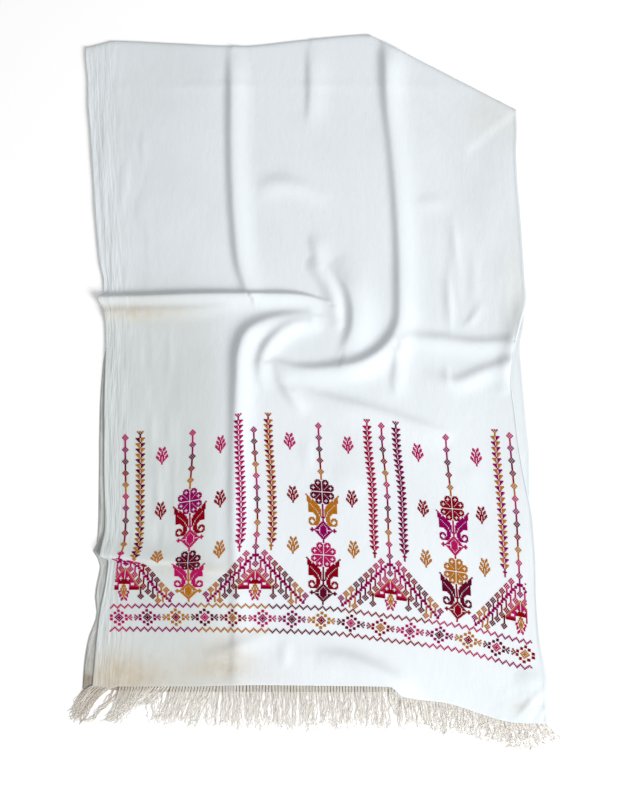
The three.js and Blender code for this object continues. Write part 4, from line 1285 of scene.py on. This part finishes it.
def fringe_lines(across, roots, tables, threads, floor, seed):
    """The threads of a fringe as lines: side by side next to the hem, then loose and curly on the floor."""
    rng = np.random.default_rng(seed)
    swings, combs, bundles = tables
    places, swing, length = (np.array(column) for column in zip(*swings))
    count = len(across)
    swung = [smooth_curve(places, swing, across), -smooth_curve(places, length, across)]
    tips = bundled(across, roots[:, :2] + np.stack(swung, axis=1), bundles, rng)
    comb = smooth_curve(*zip(*combs), across)[:, None, None]

    def chance(low, high):
        return rng.uniform(low, high, (count, threads, 1))

    s = np.linspace(0, 1, FRINGE_STEPS)
    whole = np.hypot(*(tips - roots[:, :2]).T)[:, None, None]
    grow = smooth_step(comb * COMB_OPENS[0], comb + COMB_OPENS[1], whole * s)
    waves = np.zeros((3, count, threads, FRINGE_STEPS))
    right_end = smooth_step(*RIGHT_END, across)[:, None, None]
    for low, high, size, curly in THREAD_WAVES:
        turns = chance(low, high)
        strength = (size + curly * right_end) * chance(0.3, 1)
        for axis in range(3):
            waves[axis] += strength * np.sin(2 * np.pi * turns * s + chance(0, 2 * np.pi))
    lane = LANE * (np.arange(threads) - (threads - 1) / 2)[None, :, None]
    loose = chance(-LOOSE, LOOSE)
    stray = 1 + STRAY_MORE * (chance(0, 1) > STRAY_FROM)
    reach = chance(*THREAD_REACH)
    curl = smooth_step(*CURL_FROM, s) * chance(*CURL_TURN) * np.sign(chance(-1, 1))
    loop = chance(*CURL_SIZE)
    bend = np.where(across < ASIDE["left of"], ASIDE["early"], ASIDE["late"])[:, None, None]
    x = roots[:, 0, None, None] + (tips[:, 0] - roots[:, 0])[:, None, None] * s**bend
    x = x + lane * (1 - 0.5 * grow) + (loose + WAVE_SHARES[0] * waves[0]) * stray * grow
    x = x + loop * (1 - np.cos(curl)) * np.sign(curl)
    y = roots[:, 1, None, None] + (tips[:, 1] - roots[:, 1])[:, None, None] * s * reach
    y = y + WAVE_SHARES[1] * waves[1] * grow - loop * np.sin(np.abs(curl)) + loop * np.abs(curl) * 0.3
    pile = chance(*PILE) * (1 - 0.5 * s)
    low = floor + pile + WAVE_SHARES[2] * waves[2] * grow
    z = roots[:, 2, None, None] + (low - roots[:, 2, None, None]) * smooth_step(*SETTLES, s)
    z = np.maximum(z, floor)
    lines = np.stack(np.broadcast_arrays(x, y, z), axis=-1)
    lines = lines.reshape(count * threads, FRINGE_STEPS, 3)
    thin = np.broadcast_to(1.0 - TIP_THINNER * smooth_step(0.5, 1, s), lines.shape[:2])
    return lines, thin


# Sizes and colours that a user would change


def size_setting(name, description, default):
    return bpy.props.FloatProperty(
        name=name, description=description, default=default, min=0.0003, unit="LENGTH")


def count_setting(name, description, default):
    return bpy.props.IntProperty(name=name, description=description, default=default, min=1)


def colour_setting(name, description, default):
    return bpy.props.FloatVectorProperty(
        name=name, description=description, default=default, size=3, subtype="COLOR", min=0, max=1)


class ScarfCloth(bpy.types.PropertyGroup):
    """The crepe and its hems."""

    wall: size_setting("Cloth thickness", "Thickness of the crepe", 0.0008)
    hem: size_setting("Hem thickness", "Thickness of the rolled side hems", 0.0017)
    stitch_spacing: size_setting("Hem stitch spacing", "From one hem stitch to the next", 0.0042)
    colour: colour_setting("Crepe", "Colour of the clean crepe", (0.775, 0.825, 0.86))
    # This colour paints the stains and the painted shade on the lower left ridge's flank.
    dust: colour_setting("Dust", "Colour of the dusty places", (0.55, 0.49, 0.39))
    # The hidden half's dusty colour is mostly painted shade: under the upper hem and down the strip at the
    # left.
    shade_and_dust_below: colour_setting("Dust below", "Colour of the hidden half's dusty places", (0.31, 0.26, 0.195))


class ScarfEmbroidery(bpy.types.PropertyGroup):
    """The cross stitch."""

    thickness: size_setting("Thread thickness", "Thickness of the embroidery thread", 0.0015)
    rise: size_setting("Stitch height", "How far a stitch stands above the cloth", 0.0004)
    pink: colour_setting("Pink", "Colour of the pink thread", (0.49, 0.010, 0.125))
    purple: colour_setting("Purple", "Colour of the purple thread", (0.31, 0.0006, 0.115))
    maroon: colour_setting("Maroon", "Colour of the maroon thread", (0.135, 0.003, 0.024))
    red: colour_setting("Dark red", "Colour of the dark red thread", (0.27, 0.0008, 0.011))
    mustard: colour_setting("Mustard", "Colour of the mustard thread", (0.48, 0.175, 0.012))


class ScarfFringe(bpy.types.PropertyGroup):
    """The two fringes."""

    thickness: size_setting("Thread thickness", "Thickness of one fringe thread", 0.0012)
    threads_above: count_setting("Threads in an upper tuft", "Loose threads that one tuft opens into", 3)
    threads_below: count_setting("Threads in a lower tuft", "Loose threads that one tuft opens into", 3)
    colour: colour_setting("Fringe", "Colour of the fringe threads", (0.97, 0.95, 0.915))
    # The aged colour also paints shade on the lower fringe and at the roots.
    aged_and_shaded: colour_setting("Aged fringe", "Colour of the fringe where it is oldest", (0.36, 0.28, 0.19))


class ScarfStage(bpy.types.PropertyGroup):
    """The floor, the light and the camera."""

    key_power: bpy.props.FloatProperty(
        name="Key light", description="Power of the soft light at the near right", default=208, unit="POWER")
    fill: bpy.props.FloatProperty(
        name="Fill light", description="Strength of the even light from all round", default=0.49, min=0)
    lens: bpy.props.FloatProperty(
        name="Lens", description="Focal length of the camera", default=66, subtype="DISTANCE_CAMERA")
    floor: colour_setting("Floor", "Colour of the floor", (0.97, 0.97, 0.97))


def the_drape():
    """The upper half at the thickness that the settings give."""
    cloth = bpy.context.scene.scarf_cloth
    return Drape(cloth.wall / MM, cloth.hem / MM)


# Operators


class SCARF_OT_upper_half(bpy.types.Operator):
    """Make the upper half of the cloth, draped in its folds"""

    bl_idname = "scarf.upper_half"
    bl_label = "Upper half"

    def execute(self, context):
        cloth = context.scene.scarf_cloth
        drape = the_drape()
        points = np.concatenate([drape.over.reshape(-1, 3), drape.under.reshape(-1, 3)])
        cut = np.concatenate([drape.cut, drape.cut])
        dust = stains_and_shade(points[:, 0], points[:, 1])
        half = mesh_object("upper_half", points, shell_faces(*drape.shape), cut, dust)
        half.data.materials.append(crepe_material("Crepe", cloth.colour, cloth.dust, 1.0))
        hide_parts("top_layer")
        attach(half, "root")
        return {"FINISHED"}


class SCARF_OT_hidden_half(bpy.types.Operator):
    """Make the half that lies underneath and shows at the edges"""

    bl_idname = "scarf.hidden_half"
    bl_label = "Hidden half"

    def execute(self, context):
        cloth = context.scene.scarf_cloth
        points, cut, dust, shape = hidden_layer(cloth.wall / MM, cloth.hem / MM)
        made = mesh_object("hidden_half", points, shell_faces(*shape), cut, dust)
        made.data.materials.append(crepe_material("Crepe below", cloth.colour, cloth.shade_and_dust_below, 1.3))
        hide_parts("under_layers")
        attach(made, "root")
        return {"FINISHED"}


class SCARF_OT_embroidery(bpy.types.Operator):
    """Make the cross stitch, one piece for each thread"""

    bl_idname = "scarf.embroidery"
    bl_label = "Embroidery"

    def execute(self, context):
        work = context.scene.scarf_embroidery
        drape = the_drape()
        chart = whole_chart()
        tree = tree_named("Threads along lines", threads_tree)
        for thread in THREADS:
            cells = [cell for cell, of in chart.cells.items() if of == thread]
            colour = getattr(work, thread)
            deep = [channel * THREAD_DEEP for channel in colour]
            lighter = [channel * THREAD_LIGHT for channel in colour]
            material = thread_material("Thread " + thread, colour, deep, lighter)
            lines = cross_stitches(drape, cells, work.rise / MM)
            rng = np.random.default_rng(len(thread))
            shade = rng.uniform(0, THREAD_SHADE, (len(lines), 1))
            mesh = line_mesh("stitches", lines, 1.0, shade)
            made = grown("stitches_" + thread, mesh, tree, {
                "Thickness": work.thickness, "Sides": 4, "Material": material,
            })
            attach(made, "root")
        return {"FINISHED"}


class SCARF_OT_hems(bpy.types.Operator):
    """Sew the rolled side hems"""

    bl_idname = "scarf.hems"
    bl_label = "Hems"

    def execute(self, context):
        cloth = context.scene.scarf_cloth
        drape = the_drape()
        rise = np.linspace(HEM_SEAM["from"], HEM_SEAM["to"], HEM_SEAM["points"])
        lines = []
        for across in (HEM_SEAM["inset"], CLOTH_WIDTH - HEM_SEAM["inset"]):
            place = np.full(rise.size, across)
            lines.append(drape.at(place, rise * far_edge(place) / HALF_LENGTH, HEM_SEAM["lift"]))
        mesh = line_mesh("hems", np.array(lines), 1.0, 0.0)
        colour = cloth.colour
        deep = [channel * SEWING_DEEP for channel in colour]
        material = thread_material("Sewing thread", colour, deep, other=colour, sheen=0.1)
        made = grown("hem_stitches", mesh, tree_named("Hem stitches along a line", hem_stitch_tree), {
            "Spacing": cloth.stitch_spacing, "Stitch length": HEM_STITCH_LENGTH,
            "Thickness": HEM_STITCH_THICKNESS, "Material": material,
        })
        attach(made, "root")
        return {"FINISHED"}


class SCARF_OT_fringes(bpy.types.Operator):
    """Make the upper and the lower fringe, thread by thread"""

    bl_idname = "scarf.fringes"
    bl_label = "Fringes"

    def execute(self, context):
        fringe = context.scene.scarf_fringe
        drape = the_drape()
        tree = tree_named("Threads along lines", threads_tree)
        deep = [channel * share for channel, share in zip(fringe.colour, FRINGE_DEEP)]
        # The fringe threads get a painted glow, light of their own that makes them whiter.
        material = thread_material(
            "Fringe thread", fringe.colour, deep, other=fringe.aged_and_shaded, sheen=0.5, scatter=0.5, painted_glow=0.07)
        above = (SWING_ABOVE, COMB_ABOVE, BUNDLES_ABOVE)
        below = (SWING_BELOW, COMB_BELOW, BUNDLES_BELOW)
        over, under = fringe.threads_above, fringe.threads_below
        # name, places and roots, tables, threads in a tuft, lowest height, age and painted shade, node
        rows = (
            ("threads_above", tuft_roots(drape, TUFTS_ABOVE), above, over, 0.8, 0.55, "fringe_top"),
            ("threads_below", lower_roots(TUFTS_BELOW), below, under, 0.5, 0.85, "fringe_under"),
        )
        for seed, (name, (across, roots), tables, threads, floor, age_and_shade, node) in enumerate(rows):
            lines, thin = fringe_lines(across, roots, tables, threads, floor, seed)
            left_end = 1 - smooth_step(*AGED_AND_SHADED_LEFT, np.repeat(across, threads))[:, None]
            # Painted shade along with the age: darker near the roots, and all along at the left end.
            clean = smooth_step(*CLEAN_AND_LIT_ALONG, np.linspace(0, 1, FRINGE_STEPS)) * (1 - CLEAN_AND_LIT_LESS * left_end)
            shade = age_and_shade * (AGED_AND_SHADED_ELSEWHERE + (1 - AGED_AND_SHADED_ELSEWHERE) * left_end) * (1 - clean)
            mesh = line_mesh(name, lines, thin, shade)
            made = grown(name, mesh, tree, {
                "Thickness": fringe.thickness, "Sides": 3, "Material": material,
            })
            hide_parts(node)
            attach(made, "root")
        return {"FINISHED"}


class SCARF_OT_stage(bpy.types.Operator):
    """Set the floor, the soft light and the camera"""

    bl_idname = "scarf.stage"
    bl_label = "Stage"

    def execute(self, context):
        stage = context.scene.scarf_stage
        scene = context.scene
        scene.view_settings.view_transform = "Standard"
        camera = bpy.data.objects.new("Camera", bpy.data.cameras.new("Camera"))
        camera.location = CAMERA_AT
        camera.data.lens = stage.lens
        scene.collection.objects.link(camera)
        scene.camera = camera
        key = bpy.data.objects.new("Key light", bpy.data.lights.new("Key light", "AREA"))
        key.data.energy = stage.key_power
        key.data.size = KEY_SIZE
        key.location = KEY_AT
        key.rotation_euler = (-Vector(KEY_AT)).to_track_quat("-Z", "Y").to_euler()
        scene.collection.objects.link(key)
        world = bpy.data.worlds.new("Even light")
        world.use_nodes = True
        background = world.node_tree.nodes["Background"]
        background.inputs["Color"].default_value = WHITE
        background.inputs["Strength"].default_value = stage.fill
        scene.world = world
        mesh = bpy.data.meshes.new("floor")
        corners = [(x * FLOOR_REACH, y * FLOOR_REACH, 0) for x, y in ((-1, -1), (1, -1), (1, 1), (-1, 1))]
        mesh.from_pydata(corners, [], [(0, 1, 2, 3)])
        floor = bpy.data.objects.new("floor", mesh)
        scene.collection.objects.link(floor)
        material, nodes = new_material("Floor")
        place = nodes.add("ShaderNodeTexCoord").outputs["Object"]
        shade = [channel * FLOOR_SHADE for channel in stage.floor]
        tone = nodes.mix_colour(nodes.noise(place, 3, 2), opaque(stage.floor), opaque(shade))
        shader = nodes.add("ShaderNodeBsdfPrincipled", {
            "Base Color": tone, "Roughness": 0.9, "Emission Color": WHITE, "Emission Strength": FLOOR_GLOW,
        })
        nodes.add("ShaderNodeOutputMaterial", {"Surface": shader.outputs[0]})
        mesh.materials.append(material)
        return {"FINISHED"}


class SCARF_OT_sheet(bpy.types.Operator):
    """A step that changes nothing: it marks no piece as part of the upper half's sheet of cloth"""

    bl_idname = "scarf.sheet"
    bl_label = "Sheet"

    def execute(self, context):
        return {"FINISHED"}


class SCARF_PT_panel(bpy.types.Panel):
    bl_idname = "SCARF_PT_panel"
    bl_label = "Embroidered scarf"
    bl_space_type = "VIEW_3D"
    bl_region_type = "UI"
    bl_category = "Scarf"

    def draw(self, context):
        for group, operators in PARTS:
            settings = getattr(context.scene, group)
            box = self.layout.box()
            for name in settings.bl_rna.properties.keys():
                if name not in ("rna_type", "name"):
                    box.prop(settings, name)
            for operator in operators:
                box.operator(operator.bl_idname)


PARTS = [
    ("scarf_cloth", [SCARF_OT_upper_half, SCARF_OT_hidden_half, SCARF_OT_hems]),
    ("scarf_embroidery", [SCARF_OT_embroidery]),
    ("scarf_fringe", [SCARF_OT_fringes]),
    ("scarf_stage", [SCARF_OT_stage, SCARF_OT_sheet]),
]
GROUPS = {
    "scarf_cloth": ScarfCloth, "scarf_embroidery": ScarfEmbroidery, "scarf_fringe": ScarfFringe,
    "scarf_stage": ScarfStage,
}
OPERATORS = [operator for _, operators in PARTS for operator in operators]


def register():
    for made in [*GROUPS.values(), *OPERATORS, SCARF_PT_panel]:
        bpy.utils.register_class(made)
    for name, group in GROUPS.items():
        setattr(bpy.types.Scene, name, bpy.props.PointerProperty(type=group))


def unregister():
    for name in GROUPS:
        delattr(bpy.types.Scene, name)
    for made in [SCARF_PT_panel, *reversed(OPERATORS), *reversed(GROUPS.values())]:
        bpy.utils.unregister_class(made)


def main():
    register()
    bpy.ops.scarf.stage()
    bpy.ops.scarf.upper_half()
    bpy.ops.scarf.hidden_half()
    bpy.ops.scarf.embroidery()
    bpy.ops.scarf.hems()
    bpy.ops.scarf.fringes()
    bpy.ops.scarf.sheet()


if __name__ == "__main__":
    main()
